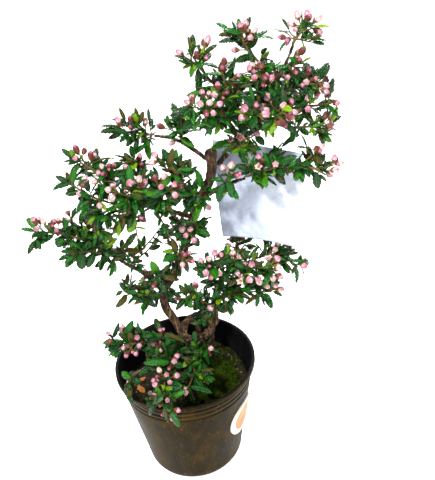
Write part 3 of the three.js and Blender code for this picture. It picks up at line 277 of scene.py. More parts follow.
def make_petals():
    """From the stalk of a bud over its sepals to the petals, by the share along the bud"""
    look = Look("bud", 0.2)
    along, ridge, tone = [look.mark(name) for name in ("along", "across", "tone")]
    edge = look.sum("MULTIPLY_ADD", ridge, -0.16, along)
    stalk = look.ramp(along, [(0.0, 86, 86, 34), (0.25, 108, 92, 40), (0.4, 106, 62, 42),
                              (0.7, 78, 34, 32), (1.0, 112, 56, 58)])
    pink = look.ramp(along, [(0.3, 176, 164, 118), (0.5, 204, 190, 182), (0.7, 196, 166, 174),
                             (0.86, 178, 118, 138), (1.0, 134, 62, 82)])
    cream = look.ramp(along, [(0.3, 160, 158, 98), (0.55, 206, 198, 174), (0.8, 200, 178, 170),
                              (1.0, 186, 138, 144)])
    petal = look.mix(look.fit(tone, 0.68, 0.95), pink, cream)
    # Painted shade: darker pink in the grooves between the petals.
    petal = look.mix(look.fit(ridge, 0.0, 0.5, 0.85, 0.0), petal, tint(138, 70, 88))
    freckle = look.fit(look.grain(1.3, detail=4.0), 0.45, 0.7, 0.0, 0.4)
    petal = look.mix(freckle, petal, tint(162, 102, 118))
    reach = look.fit(tone, 0.0, 0.75, 0.88, 0.42)
    cut = look.sum("SUBTRACT", edge, reach)
    look.colour(look.mix(look.fit(cut, -0.03, 0.03), stalk, petal))
    look.rough(look.grain(2.0), 0.45, 0.65)
    look.raise_by(look.grain(3.0, detail=4.0), 0.12 * MM, 0.6)
    return look.material


def make_bark():
    look = Look("bark", 0.25)
    flakes = look.cells(0.8, "F1", (1, 1, 0.45))
    patch = look.grain(0.22, detail=5.0)
    wood = look.ramp(patch, [(0.28, 36, 22, 14), (0.45, 66, 42, 26), (0.6, 88, 62, 38),
                             (0.74, 72, 72, 30)])
    ridge = look.grain(0.75, (1, 1, 0.22), 3.0)
    # Painted highlight: the raised ridges of the bark are lighter.
    ridge_highlight = look.mix(look.fit(ridge, 0.56, 0.68, 0.0, 0.75), wood, tint(150, 122, 84))
    # Painted shade: the sunken furrows of the bark are near black.
    deep = look.mix(look.fit(ridge, 0.36, 0.5, 0.85, 0.0), ridge_highlight, tint(14, 9, 6))
    look.colour(look.mix(look.fit(flakes, 0.3, 0.7, 0.0, 0.5), deep, tint(18, 12, 8)))
    look.rough(look.grain(1.2), 0.65, 0.9)
    look.raise_by(ridge, 1.2 * MM, 0.8)
    look.raise_by(flakes, 0.35 * MM, 0.7)
    look.raise_by(look.grain(2.2, (1, 1, 0.35), 6.0), 0.3 * MM, 0.9)
    return look.material


def make_pot_outside():
    look = Look("pot_outside", 0.03)
    streaks = look.grain(0.16, (1, 1, 0.12), 5.0)
    dust = look.grain(0.06, detail=6.0)
    base = look.ramp(streaks, [(0.3, 19, 13, 0), (0.5, 27, 19, 0), (0.7, 38, 27, 0)])
    dusty = look.mix(look.fit(dust, 0.5, 0.75, 0.0, 0.4), base, tint(76, 54, 12))
    scratch = look.fit(look.grain(1.4, (1, 1, 0.05), 2.0), 0.66, 0.72, 0.0, 0.25)
    speck = look.fit(look.grain(0.5, detail=1.0), 0.78, 0.81, 0.0, 0.6)
    scratch = look.sum("MAXIMUM", scratch, speck)
    look.colour(look.mix(scratch, dusty, tint(128, 118, 92)))
    look.rough(look.sum("ADD", look.sum("MULTIPLY", dust, 0.7), scratch), 0.42, 0.65)
    look.raise_by(look.grain(0.35, (1, 1, 0.3)), 0.2 * MM, 0.4)
    look.raise_by(look.grain(3.5), 0.05 * MM, 0.5)
    return look.material


def make_pot_inside():
    look = Look("pot_inside", 0.1)
    streaks = look.grain(0.2, (1, 1, 0.15), 4.0)
    # Painted shade: the inside of the pot is the same plastic as the outside, painted near black.
    look.colour(look.ramp(streaks, [(0.3, 7, 7, 8), (0.6, 12, 11, 12), (0.78, 24, 21, 18)]))
    look.rough(streaks, 0.5, 0.75)
    look.raise_by(look.grain(2.0), 0.06 * MM, 0.5)
    return look.material


def make_soil():
    look = Look("soil", 0.2)
    clump = look.grain(0.35, detail=6.0)
    bits = look.cells(1.1)
    base = look.ramp(clump, [(0.3, 8, 6, 3), (0.5, 22, 17, 9), (0.68, 40, 31, 17)])
    pale = look.fit(look.grain(0.9, detail=2.0), 0.66, 0.7, 0.0, 0.6)
    look.colour(look.mix(pale, base, tint(104, 88, 62)))
    look.rough(clump, 0.85, 1.0)
    look.raise_by(bits, 0.6 * MM, 0.8)
    look.raise_by(clump, 0.8 * MM, 0.8)
    return look.material


def make_grain():
    look = Look("soil_grain", 0.25)
    base = look.ramp(look.mark("tone"), [(0.0, 20, 15, 12), (0.6, 48, 36, 26), (0.85, 84, 64, 42),
                                         (1.0, 120, 104, 78)])
    look.colour(look.mix(look.fit(look.grain(2.0), 0.4, 0.7, 0.0, 0.5), base, tint(16, 12, 10)))
    look.rough(look.grain(1.5), 0.75, 0.95)
    look.raise_by(look.grain(2.5, detail=5.0), 0.25 * MM, 0.8)
    return look.material


def make_moss():
    look = Look("moss", 0.05)
    tone = look.mark("tone")
    leafy = look.ramp(tone, [(0.0, 22, 50, 0), (0.5, 48, 80, 0), (0.85, 98, 116, 0),
                             (1.0, 142, 128, 14)])
    patch = look.fit(look.grain(0.16, detail=3.0), 0.42, 0.62, 0.0, 0.8)
    leafy = look.mix(patch, leafy, tint(26, 46, 2))
    shade = look.fit(look.mark("along"), 0.0, 0.8)
    deep = look.mix(look.grain(0.5), tint(20, 24, 8), tint(44, 38, 16))
    look.colour(look.mix(shade, deep, leafy))
    look.rough(look.grain(2.0), 0.75, 0.95)
    look.raise_by(look.grain(2.6, detail=5.0), 0.4 * MM, 0.8)
    return look.material


def make_paper():
    look = Look("paper", 0.2)
    cloud = look.grain(0.035, detail=2.0)
    # Painted shade: the paper is darker and more lavender towards its left edge.
    across = look.sum("ADD", cloud, look.sum("MULTIPLY_ADD", look.mark("along"), 0.45, -0.25))
    base = look.ramp(across, [(0.25, 148, 156, 174), (0.5, 166, 174, 190), (0.8, 186, 193, 206)])
    fibre = look.fit(look.grain(1.6, (1, 1, 0.3), 4.0), 0.55, 0.8, 0.0, 0.16)
    look.colour(look.mix(fibre, base, tint(182, 185, 196)))
    look.rough(look.grain(0.8), 0.6, 0.8)
    look.raise_by(look.grain(0.12, detail=4.0), 2.2 * MM, 0.9)
    look.raise_by(look.grain(2.8), 0.03 * MM, 0.5)
    return look.material


def make_sticker():
    """White vinyl with a plain round orange print, by the place on the disc"""
    look = Look("sticker", 0.15)
    across = look.mark("across")
    wear = look.sum("MULTIPLY_ADD", look.grain(0.6, detail=4.0), 0.12, across)
    disc = look.fit(wear, 0.76, 0.79, 1.0, 0.0)
    orange = look.ramp(look.grain(0.12), [(0.3, 188, 66, 6), (0.5, 198, 92, 12), (0.7, 204, 122, 52)])
    paper = look.ramp(look.grain(0.3), [(0.3, 182, 174, 160), (0.7, 200, 194, 184)])
    look.colour(look.mix(disc, paper, orange))
    look.rough(look.grain(0.7), 0.3, 0.5)
    look.raise_by(look.grain(0.25, detail=3.0), 0.12 * MM, 0.4)
    return look.material


def make_chip(name, dark, light, per_mm):
    look = Look(name, 0.25)
    grain = look.grain(per_mm, (0.4, 1, 1), 5.0)
    look.colour(look.ramp(grain, [(0.3, *dark), (0.7, *light)]))
    look.rough(grain, 0.7, 0.95)
    look.raise_by(grain, 0.3 * MM, 0.8)
    return look.material


def spread(count):
    """The turns of points all round a circle"""
    return [tau * k / count for k in range(count)]


def on_circle(radius, turn, z=0.0):
    return Vector((radius * cos(turn), radius * sin(turn), z))


class Shape:
    """The points and faces of a piece. Each point carries three numbers, which the materials read."""

    def __init__(self):
        self.points = []
        self.marks = []
        self.faces = []
        self.looks = []

    def point(self, place, along=0.0, across=0.0, tone=0.0):
        self.points.append(place)
        self.marks.append((along, across, tone))
        return len(self.points) - 1

    def face(self, corners, look=0):
        self.faces.append(corners)
        self.looks.append(look)

    def band(self, lower, upper, look=0, closed=True):
        """Faces between two rows of points"""
        count = len(lower)
        for k in range(count if closed else count - 1):
            after = (k + 1) % count
            self.face([lower[k], lower[after], upper[after], upper[k]], look)

    def fan(self, middle, row, look=0, flipped=False):
        """Faces between a closed row of points and one point in its middle"""
        for k in range(len(row)):
            corners = [middle, row[k], row[(k + 1) % len(row)]]
            self.face(corners[::-1] if flipped else corners, look)

    def round_sheet(self, rings, around, spot):
        """A sheet from its middle outwards. The place and the marks of each point come from spot, by the
        share of the way out and the turn. The outermost row of points is given back."""
        middle = self.point(*spot(0.0, 0.0))
        rows = []
        for ring in range(1, rings + 1):
            rows.append([self.point(*spot(ring / rings, turn)) for turn in spread(around)])
        self.fan(middle, rows[0])
        for lower, upper in zip(rows, rows[1:]):
            self.band(upper, lower)
        return rows[-1]

    def mesh(self, mesh):
        first = len(self.points)
        for vertex in mesh.vertices:
            self.point(vertex.co.copy())
        for polygon in mesh.polygons:
            self.face([first + v for v in polygon.vertices])


def put_in(name, data):
    """A new object in the scene"""
    made = bpy.data.objects.new(name, data)
    bpy.context.scene.collection.objects.link(made)
    return made


def show(name, shape, materials, smooth=True):
    """A new object of a shape"""
    mesh = bpy.data.meshes.new(name)
    mesh.from_pydata(shape.points, [], shape.faces)
    for material in materials:
        mesh.materials.append(material)
    mesh.polygons.foreach_set("material_index", shape.looks)
    mesh.polygons.foreach_set("use_smooth", [smooth] * len(shape.faces))
    for spot, mark in enumerate(("along", "across", "tone")):
        layer = mesh.attributes.new(mark, "FLOAT", "POINT")
        layer.data.foreach_set("value", [marks[spot] for marks in shape.marks])
    mesh.update()
    return put_in(name, mesh)


def stand_for(made, node, slot):
    """The piece is shown in place of a node of the frame."""
    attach(made, "root")
    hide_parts(node)


def worked(mesh, *modifiers):
    """A copy of a mesh after modifiers, each given as its kind and its settings"""
    helper = put_in("helper", mesh)
    for kind, settings in modifiers:
        modifier = helper.modifiers.new(kind, kind)
        for name, value in settings.items():
            setattr(modifier, name, value)
    ready = helper.evaluated_get(bpy.context.evaluated_depsgraph_get())
    made = bpy.data.meshes.new_from_object(ready)
    bpy.data.objects.remove(helper)
    return made


def welded(node):
    """A node's mesh as a bmesh, with the points that coincide joined"""
    body = bmesh.new()
    body.from_mesh(CAD[node].data)
    bmesh.ops.remove_doubles(body, verts=body.verts, dist=0.002 * MM)
    return body


def as_mesh(body):
    mesh = bpy.data.meshes.new("body")
    body.to_mesh(mesh)
    body.free()
    return mesh


def cut_out(made, tool):
    """A piece loses what lies inside the tool, and the tool goes."""
    made.data = worked(made.data, ("BOOLEAN", {"operation": "DIFFERENCE", "object": tool, "solver": "EXACT"}))
    bpy.data.objects.remove(tool)


# Pot
def pot_radius(z):
    return POT.base + (POT.rim - POT.base) * z / POT.height


def pot_inside(z):
    return pot_radius(max(z, POT.corner)) - POT.wall


def corner_arc(radius, floor, outward):
    centre = pot_radius(POT.corner) - POT.corner
    turns = [pi / 2 * step / 8 for step in range(9)]
    arc = [(centre + radius * sin(turn), floor + radius * (1 - cos(turn))) for turn in turns]
    return arc if outward else arc[::-1]


def pot_profile():
    """Radius and height from the middle of the foot round the wall to the middle of the floor, as two lists:
    the outside, then the inside."""
    top = POT.height
    rim = pot_radius(top)
    outside = corner_arc(POT.corner, 0.0, True)
    for z in (20 * MM, 36 * MM, 52 * MM):
        outside.append((pot_radius(z), z))
    for foot in GROOVES:
        for above, share in GROOVE_SHAPE:
            z = foot + above * MM
            outside.append((pot_radius(z) - share * POT.groove, z))
    lip = rim + POT.lip
    outside += [(lip - 0.3 * MM, top - POT.lip_height), (lip, top - POT.lip_height + 0.3 * MM),
                (lip, top - 0.4 * MM), (lip - 0.15 * MM, top - 0.1 * MM), (lip - 0.4 * MM, top)]
    inside = [(rim - POT.wall + 0.2 * MM, top), (rim - POT.wall, top - 0.3 * MM)]
    inside += [(pot_inside(z), z) for z in (74 * MM, 66 * MM, 58 * MM, 40 * MM, 22 * MM)]
    inside += corner_arc(POT.corner - POT.wall, POT.wall, False)
    return outside, inside


def make_pot():
    shape = Shape()
    outside, inside = pot_profile()
    rows = []
    for radius, z in outside + inside:
        row = []
        for turn in spread(POT.around):
            wave = POT.wave * (z / POT.height) ** 2 * noise.noise(on_circle(2, turn, 40 * z))
            row.append(shape.point(on_circle(radius + min(wave, 0.0), turn, z)))
        rows.append(row)
    for i, (lower, upper) in enumerate(zip(rows, rows[1:])):
        shape.band(lower, upper, 0 if i < len(outside) - 1 else 1)
    shape.fan(shape.point(Vector((0, 0, 0))), rows[0], 0, flipped=True)
    shape.fan(shape.point(Vector((0, 0, POT.wall))), rows[-1], 1)
    made = show("nursery_pot", shape, [make_pot_outside(), make_pot_inside()])
    drills = Shape()
    for drain in range(DRAINS.count):
        centre = on_circle(DRAINS.out, tau * (drain + 0.5) / DRAINS.count)
        low, high = [[drills.point(centre + on_circle(DRAINS.radius, turn, z)) for turn in spread(24)]
                     for z in (-3 * MM, 4 * MM)]
        drills.band(low, high)
        drills.face(low[::-1])
        drills.face(high)
    cut_out(made, show("drill", drills, []))
    stand_for(made, "pot", "pot_plastic")


# Soil and moss
def soil_top(x, y):
    away = ((x - SOIL.x) ** 2 + (y - SOIL.y) ** 2) / SOIL.spread ** 2
    a, b = x / MM, y / MM
    crumbs = 0.5 * sin(a * 0.55 + 1.3) * cos(b * 0.62) + 0.35 * sin(a * 1.3 - b * 1.1)
    return SOIL.level + SOIL.mound * exp(-away / 2) + crumbs * MM


def moss_depth(x, y):
    away = hypot(x - MOSS.x, (y - MOSS.y) / MOSS.squash) / MOSS.radius
    tufts = 0.8 * MM * sin(x / MM * 0.9) * sin(y / MM * 0.8 + 0.7)
    return (MOSS.thick + tufts) * sqrt(1 - away ** 2) if away < 1 else 0.0


def rough_ground(x, y):
    spot = Vector((x, y, 0)) / MM
    lumps = 0.55 * noise.fractal(spot * 0.35, 0.8, 2.1, 4)
    return soil_top(x, y) + MM * (lumps + 0.2 * noise.noise(spot * 1.4))


def add_lump(shape, centre, sizes, tone, look, chance):
    """A small uneven stone-like body"""
    lump = bmesh.new()
    bmesh.ops.create_icosphere(lump, subdivisions=1, radius=1.0)
    turn = Matrix.Rotation(chance.uniform(0, 6.28), 3, "Z")
    turn @= Matrix.Rotation(chance.uniform(-LUMP.tilt, LUMP.tilt), 3, "X")
    first = len(shape.points)
    for vertex in lump.verts:
        uneven = 1 + chance.uniform(LUMP.least, LUMP.most)
        reach = Vector([vertex.co[axis] * sizes[axis] * uneven for axis in range(3)])
        shape.point(centre + turn @ reach, 0.5, 0.0, tone)
    for face in lump.faces:
        shape.face([first + vertex.index for vertex in face.verts], look)
    lump.free()


def make_ground():
    shape = Shape()
    reach = pot_inside(SOIL.level - 1 * MM) - SOIL.gap

    def lie_at(out, turn, lift=0.0):
        x, y = out * cos(turn), out * sin(turn)
        return Vector((x, y, rough_ground(x, y) + lift))

    def cover(share, turn):
        return (lie_at(reach * share, turn),)

    last = shape.round_sheet(GROUND.rings, GROUND.around, cover)
    for z in (45 * MM, 27 * MM, POT.corner, POT.wall + SOIL.gap):
        out = pot_inside(z) - SOIL.gap - (6 * MM if z < POT.corner else 0)
        row = [shape.point(on_circle(out, turn, z)) for turn in spread(GROUND.around)]
        shape.band(row, last)
        last = row
    shape.fan(shape.point(Vector((0, 0, POT.wall + SOIL.gap))), last, flipped=True)
    chance = random.Random(41)
    for _ in range(GROUND.grains):
        out = (reach - 1.6 * MM) * sqrt(chance.random())
        turn = chance.uniform(0, tau)
        size = MM * (0.35 + 0.75 * chance.random() ** 2)
        sizes = [size * chance.uniform(0.8, 1.4), size, size * chance.uniform(0.5, 0.9)]
        add_lump(shape, lie_at(out, turn, 0.2 * size), sizes, chance.random(), 1, chance)
    for _ in range(GROUND.moss):
        out = (reach - 1.2 * MM) * sqrt(chance.random())
        turn = chance.gauss(-0.7, 1.1)
        if noise.noise(on_circle(out, turn) / MM * 0.12) > -0.2:
            add_strand(shape, lie_at(out, turn, -0.2 * MM), chance, 2)
    made = show("potting_soil", shape, [make_soil(), make_grain(), make_moss()])
    stand_for(made, "soil", "soil")


def make_moss_pad():
    shape = Shape()
    chance = random.Random(57)

    def top(x, y):
        spot = Vector((x, y, 0)) / MM
        clump = 0.7 * noise.fractal(spot * 0.3, 0.9, 2.0, 4)
        return soil_top(x, y) + moss_depth(x, y) * (0.72 + 0.25 * clump) + 0.1 * MM

    def spot_at(share, turn):
        return (MOSS.x + MOSS.radius * share * cos(turn),
                MOSS.y + MOSS.radius * MOSS.squash * share * sin(turn))

    def cover(share, turn):
        x, y = spot_at(share, turn)
        return Vector((x, y, top(x, y))), 0.3, 0, chance.random() * 0.6 if share else 0.4

    shape.round_sheet(MOSS.rings, MOSS.around, cover)
    reach = pot_inside(SOIL.level) - 0.8 * MM
    for _ in range(MOSS.strands):
        x, y = spot_at(sqrt(chance.random()) * 1.02, chance.uniform(0, tau))
        if hypot(x, y) > reach:
            continue
        add_strand(shape, Vector((x, y, top(x, y) - 0.3 * MM)), chance)
    made = show("moss_cushion", shape, [make_moss()])
    stand_for(made, "moss", "moss")


def add_strand(shape, foot, chance, look=0):
    """One upright moss stem: a narrow blade that leans and tapers"""
    height = MM * chance.uniform(0.7, 1.9)
    turn = chance.uniform(0, tau)
    lean = Vector((cos(turn), sin(turn), 0)) * height * chance.uniform(0.05, 0.6)
    side = Vector((-sin(turn), cos(turn), 0)) * MM * chance.uniform(0.1, 0.2)
    tone = min(1.0, max(0.0, chance.gauss(0.45, 0.25)))
    rows = []
    for share, wide in ((0, 1.0), (0.5, 0.9)):
        place = foot + Vector((0, 0, height * share)) + lean * share ** 2
        rows.append([shape.point(place + side * reach, share, 0, tone) for reach in (-wide, wide)])
    tip = shape.point(foot + Vector((0, 0, height)) + lean, 1.0, 0, tone)
    shape.face([rows[0][0], rows[0][1], rows[1][1], rows[1][0]], look)
    shape.face([rows[1][0], rows[1][1], tip], look)


# Wood
def off_plane(x, z, y):
    """The place at the depth y behind a point of the plane y = 0, seen from the standpoint"""
    return STANDPOINT.lerp(Vector((x, 0, z)), 1 - y / STANDPOINT.y)


def rope(place):
    """How far the bark of the looped trunk stands out here: strands that wind along the loop"""
    flat = Vector((place.x - LOOP.x, place.y - LOOP.y, 0))
    turn = atan2(flat.y, flat.x)
    out = flat.length - LOOP.radius
    up = place.z - LOOP.z - LOOP.tilt * sin(turn + 0.6)
    near = max(0.0, 1 - hypot(out, up) / LOOP.near)
    round_it = atan2(up, out)
    strand = abs(sin(0.5 * LOOP.strands * (round_it - LOOP.twists * turn)))
    return near * (LOOP.strand * strand - LOOP.furrow) * MM


def make_trunk():
    solid = worked(CAD["trunk"].data, ("REMESH", {"mode": "VOXEL", "voxel_size": BARK_CELL}),
                   ("SMOOTH", {"factor": 0.5, "iterations": 4}))
    normals = [vertex.normal.copy() for vertex in solid.vertices]
    stub = off_plane(STUB.x, STUB.z, STUB.y)
    for vertex, normal in zip(solid.vertices, normals):
        spot = vertex.co / MM
        long_grain = Vector((spot.x * 0.9, spot.y * 0.9, spot.z * 0.3))
        knobs = 0.28 * noise.fractal(long_grain, 0.7, 2.2, 4)
        lumps = 0.3 * noise.noise(spot * 0.16)
        vertex.co += normal * ((knobs + lumps) * MM + rope(vertex.co))
        away = vertex.co - stub
        if away.length < STUB.near:
            near = 1 - away.length / STUB.near
            flat = hypot(away.x, away.y) / STUB.radius
            vertex.co += Vector((away.x, away.y, 0)).normalized() * STUB.swell * sin(pi * near)
            if away.z > -1.2 * MM:
                vertex.co.z += STUB.dome * (0.55 - min(flat, 1.0) ** 2)
    shape = Shape()
    shape.mesh(solid)
    made = show("trunk_and_limbs", shape, [make_bark()])
    stand_for(made, "trunk", "bark")


# Leafy sprays
def ring_beyond(ring, inner):
    """The four points past a ring of four, away from the points inside it"""
    past = []
    for vertex in ring:
        for edge in vertex.link_edges:
            other = edge.other_vert(vertex)
            if other not in ring and other not in inner and other not in past:
                past.append(other)
    return past


def middle_of(ring):
    return sum((vertex.co for vertex in ring), Vector()) / len(ring)


def read_leaf(tip, rings):
    corner = rings[0][0].co
    spans = sorted((other.co - corner for other in rings[0][1:]), key=lambda span: span.length)
    base = middle_of(rings[3])
    lift = middle_of(rings[1]) - base.lerp(tip.co, 0.5)
    return Values(base=base, tip=tip.co.copy(), width=spans[1].length / ENDS.blade, lift=lift)


def read_spray(node):
    """The bare wood of a spray as a bmesh, its leaves, and its buds, read from the ends of its mesh. An end
    is a point with four equal edges. Behind the end of a leaf lie three flat rings of four points, and
    behind the end of a bud one round ring."""
    wood = welded(node)
    leaves, buds, used = [], [], []
    for tip in wood.verts:
        ring = [edge.other_vert(tip) for edge in tip.link_edges]
        reach = [edge.calc_length() for edge in tip.link_edges]
        if len(ring) != 4 or max(reach) > ENDS.even * min(reach) or min(reach) < ENDS.edge:
            continue
        rings = [ring]
        inner = {tip}
        for _ in range(3):
            past = ring_beyond(rings[-1], inner)
            inner.update(rings[-1])
            rings.append(past)
        if len(rings[1]) != 4:
            continue
        sides = sorted((a.co - b.co).length for i, a in enumerate(ring) for b in ring[i + 1:])
        flat = sides[0] < ENDS.flat and sides[2] > ENDS.wide
        if flat and all(len(row) == 4 for row in rings):
            leaves.append(read_leaf(tip, rings))
            used += [tip, *rings[0], *rings[1], *rings[2]]
        elif not flat:
            belly = middle_of(ring)
            radius = (ring[0].co - belly).length
            buds.append(Values(base=middle_of(rings[1]), belly=belly, tip=tip.co.copy(), radius=radius))
            used += [tip, *ring]
    bmesh.ops.delete(wood, geom=list(dict.fromkeys(used)), context="VERTS")
    bmesh.ops.holes_fill(wood, edges=[edge for edge in wood.edges if edge.is_boundary], sides=8)
    wood.normal_update()
    return wood, leaves, buds


def islands_of(wood):
    """The faces of a mesh, in groups that hang together, in the same order each run"""
    met = set()
    islands = []
    for first in wood.faces:
        island = [] if first in met else [first]
        met.update(island)
        for face in island:
            for edge in face.edges:
                beside = [other for other in edge.link_faces if other not in met]
                met.update(beside)
                island += beside
        if island:
            islands.append(island)
    return islands


def root_into(wood, trunk):
    """The foot of each twig grows on into the wood it stands on."""
    def gap(face):
        return trunk.find_nearest(face.calc_center_median())[3]

    for foot in [min(island, key=gap) for island in islands_of(wood)]:
        centre = foot.calc_center_median()
        spot, normal, _, _ = trunk.find_nearest(centre)
        goal = spot - normal * ROOT.deep
        grown = bmesh.ops.extrude_face_region(wood, geom=[foot])["geom"]
        for vertex in [item for item in grown if isinstance(item, bmesh.types.BMVert)]:
            vertex.co = goal + (vertex.co - centre) * ROOT.flare
        bmesh.ops.delete(wood, geom=[foot], context="FACES_ONLY")


def round_wood(wood):
    bmesh.ops.join_triangles(wood, faces=wood.faces, angle_face_threshold=3.14, angle_shape_threshold=3.14)
    return worked(as_mesh(wood), ("SUBSURF", {"levels": 2, "render_levels": 2}))


def blade_profile(share):
    """The half width of a leaf, as a share of its widest half width, without its lobes"""
    if share < 0.07:
        return 0.09
    on = (share - 0.07) / 0.93
    return 0.09 + 0.91 * sin(pi * on ** 0.9) ** 0.6 if on < 1 else 0.0


def add_leaf(shape, leaf, tone, chance):
    """A crinkled leaf with a lobed edge. Its upper side takes look 1 and its under side look 2."""
    base, tip, width = leaf.base, leaf.tip, leaf.width
    large = (tip - base).length > LARGE_LEAF
    form = LARGE if large else SMALL
    steps, half, lobe = form.steps, form.half, form.lobe
    along = (tip - base).normalized()
    up = leaf.lift - along * leaf.lift.dot(along)
    up.normalize()
    if base.y < BACK and up.dot(STANDPOINT - base) < 0:
        up.negate()
    across = along.cross(up)
    crinkle = chance.uniform(0, 6.28)
    fold = LEAF.fold * chance.uniform(0.5, 1.4)
    twist = chance.uniform(-0.25, 0.25)
    rows = []
    for step in range(steps + 1):
        share = step / steps
        spine = base.lerp(tip, share) + leaf.lift * 4 * share * (1 - share)
        tooth = 0.5 - 0.5 * cos(tau * (share - 0.3) / lobe)
        notch = form.notch * exp(-((share - 0.5) / 0.05) ** 2)
        reach = 0.5 * width * blade_profile(share) * (1.03 - form.cut * tooth - notch)
        lean = Matrix.Rotation(twist * share, 3, along)
        row_across, row_up = lean @ across, lean @ up
        top, under = [], []
        for k in range(-half, half + 1):
            t = k / half
            ripple = LEAF.ripple * sin(tau * share / lobe + crinkle + (1.5 if t < 0 else 0)) * t * t
            quilt = form.quilt * sin(pi * (20 * share - 2.2 * abs(t))) * (1 - abs(t))
            rise = reach * (fold * abs(t) - LEAF.curl * t ** 4 + quilt) + 0.5 * width * ripple
            thick = 0.5 * LEAF.blade * (1 - t * t) + 0.02 * MM
            place = spine + row_across * (reach * t) + row_up * rise
            marks = (share, abs(t), tone)
            upper = shape.point(place + row_up * thick, *marks)
            top.append(upper)
            if abs(k) == half:
                under.append(upper)
            elif large or k == 0:
                under.append(shape.point(place - row_up * thick, *marks))
        rows.append((top, under))
    for (low_top, low_under), (high_top, high_under) in zip(rows, rows[1:]):
        shape.band(low_top, high_top, 1, closed=False)
        shape.band(low_under[::-1], high_under[::-1], 2, closed=False)


# Rows of a bud from its stalk to its end: share of the length, radius as a share of the belly, and mark
CLOSED_BUD = [(0.0, 0.2), (0.14, 0.2), (0.26, 0.24), (0.31, 0.36), (0.37, 0.6), (0.45, 0.82), (0.55, 0.97),
              (0.65, 1.02), (0.75, 0.97), (0.84, 0.8), (0.92, 0.55), (0.97, 0.3)]
OPEN_FLOWER = [(0.0, 0.2, 0.0), (0.2, 0.22, 0.2), (0.3, 0.4, 0.3), (0.4, 0.62, 0.4), (0.5, 0.74, 0.5),
               (0.6, 0.9, 0.6), (0.7, 1.2, 0.74), (0.74, 1.42, 0.8), (0.7, 1.12, 0.6), (0.66, 0.75, 0.55),
               (0.63, 0.45, 0.5), (0.64, 0.25, 0.2)]


def add_bud(shape, bud, tone, opened, slim=BUD_SLIM):
    base, tip = bud.base, bud.tip
    axis = (tip - base).normalized()
    bend = (bud.belly - base.lerp(tip, BELLY)) / sin(BELLY * pi)
    side = axis.orthogonal().normalized()
    other = axis.cross(side)
    rows = []
    for entry in (OPEN_FLOWER if opened else CLOSED_BUD):
        share, wide = entry[:2]
        mark = entry[2] if opened else share
        centre = base.lerp(tip, share) + bend * sin(pi * share)
        row = []
        for turn in spread(BUD_AROUND):
            petal = cos(5 * turn)
            deep = 0.24 if opened and wide > 1 else 0.11 if share > 0.4 else 0.0
            reach = slim * bud.radius * wide * (1 + deep * petal)
            place = centre + (side * cos(turn) + other * sin(turn)) * reach
            row.append(shape.point(place, mark, 0.5 + 0.5 * petal, tone))
        rows.append(row)
    for lower, upper in zip(rows, rows[1:]):
        shape.band(lower, upper, 3)
    end = base.lerp(tip, 0.62 if opened else 1.0)
    shape.fan(shape.point(end, 0.1 if opened else 1.0, 0.5, tone), rows[-1], 3)


def on_plane(place):
    """Where a place is seen from the standpoint on the plane y = 0, as x and z"""
    share = STANDPOINT.y / (STANDPOINT.y - place.y)
    seen = STANDPOINT.lerp(place, share)
    return seen.x, seen.z


def leaf_tone(place, chance):
    """How bright a leaf is, from 0 for the darkest to 1: young leaves are bright, and leaves below
    LEAF_TONE.above are darker as painted shade
    """
    x, z = on_plane(place)
    young = any(hypot(x - a * MM, z - b * MM) < YOUNG_REACH for a, b in YOUNG)
    # Painted shade: leaves low down get the darker usual tone.
    usual = LEAF_TONE.high if place.z > LEAF_TONE.above else LEAF_TONE.low
    tone = chance.gauss(0.84, 0.06) if young else chance.gauss(usual, 0.25)
    return min(1.0, max(0.0, tone))


def clear(base, tip, others):
    """Whether a small leaf from base to tip stays clear of the wood, the pot and the label"""
    aim = tip - base
    start = base + aim * CLEAR.start
    for other in others:
        if other.ray_cast(start, aim.normalized(), aim.length)[0] is not None:
            return False
        if other.find_nearest(tip)[3] < CLEAR.near:
            return False
    low, high = cad_bounds
    return all(low[axis] + CLEAR.inside < tip[axis] < high[axis] - CLEAR.inside for axis in range(3))


def hides(leaf, buds):
    """Whether a small leaf stands before a bud, as seen from the standpoint"""
    middle = leaf.base.lerp(leaf.tip, 0.6)
    x, z = on_plane(middle)
    for bud in buds:
        bud_x, bud_z = on_plane(bud.belly)
        if middle.y < bud.belly.y + 1 * MM and hypot(x - bud_x, z - bud_z) < BUD_ROOM:
            return True
    return False


def spots_on(wood, room, foot, chance):
    """Places on the bare wood, one to each area of that room, each with its outward way and its way onward
    from the foot"""
    faces = list(wood.faces)
    areas = [face.calc_area() for face in faces]
    for face in chance.choices(faces, areas, k=int(sum(areas) / room)):
        weights = [chance.random() for _ in face.verts]
        spot = sum((vertex.co * share for vertex, share in zip(face.verts, weights)), Vector()) / sum(weights)
        yield spot, face.normal.copy(), (spot - foot).normalized()


def anyway(chance):
    return Vector([chance.uniform(-1, 1) for _ in range(3)])


def small_leaf(spot, aim, length, chance):
    """A leaf of its own length, with its upper side about to the light"""
    tip = spot + aim * length
    across = aim.cross(Vector((0.2, -0.5, 1)) + anyway(chance) * 0.7).normalized()
    lift = across.cross(aim) * length * chance.uniform(0.02, 0.14)
    width = length * LEAF.slim * chance.uniform(0.75, 1.2)
    return Values(root=spot, base=spot - aim * 0.4 * MM, tip=tip, lift=lift, width=width)


def leaf_length(chance):
    return chance.uniform(SMALL_LEAF.short, SMALL_LEAF.long)


def small_leaves(wood, foot, sparse, chance):
    """Leaves that stand on the bare wood and lean away from its foot"""
    leaves = []
    for spot, outward, onward in spots_on(wood, SMALL_LEAF.room * sparse, foot, chance):
        aim = outward + onward * chance.uniform(0.1, 1.3) + anyway(chance) * 0.45 + Vector((0, 0, -0.15))
        leaves.append(small_leaf(spot, aim.normalized(), leaf_length(chance), chance))
    return leaves


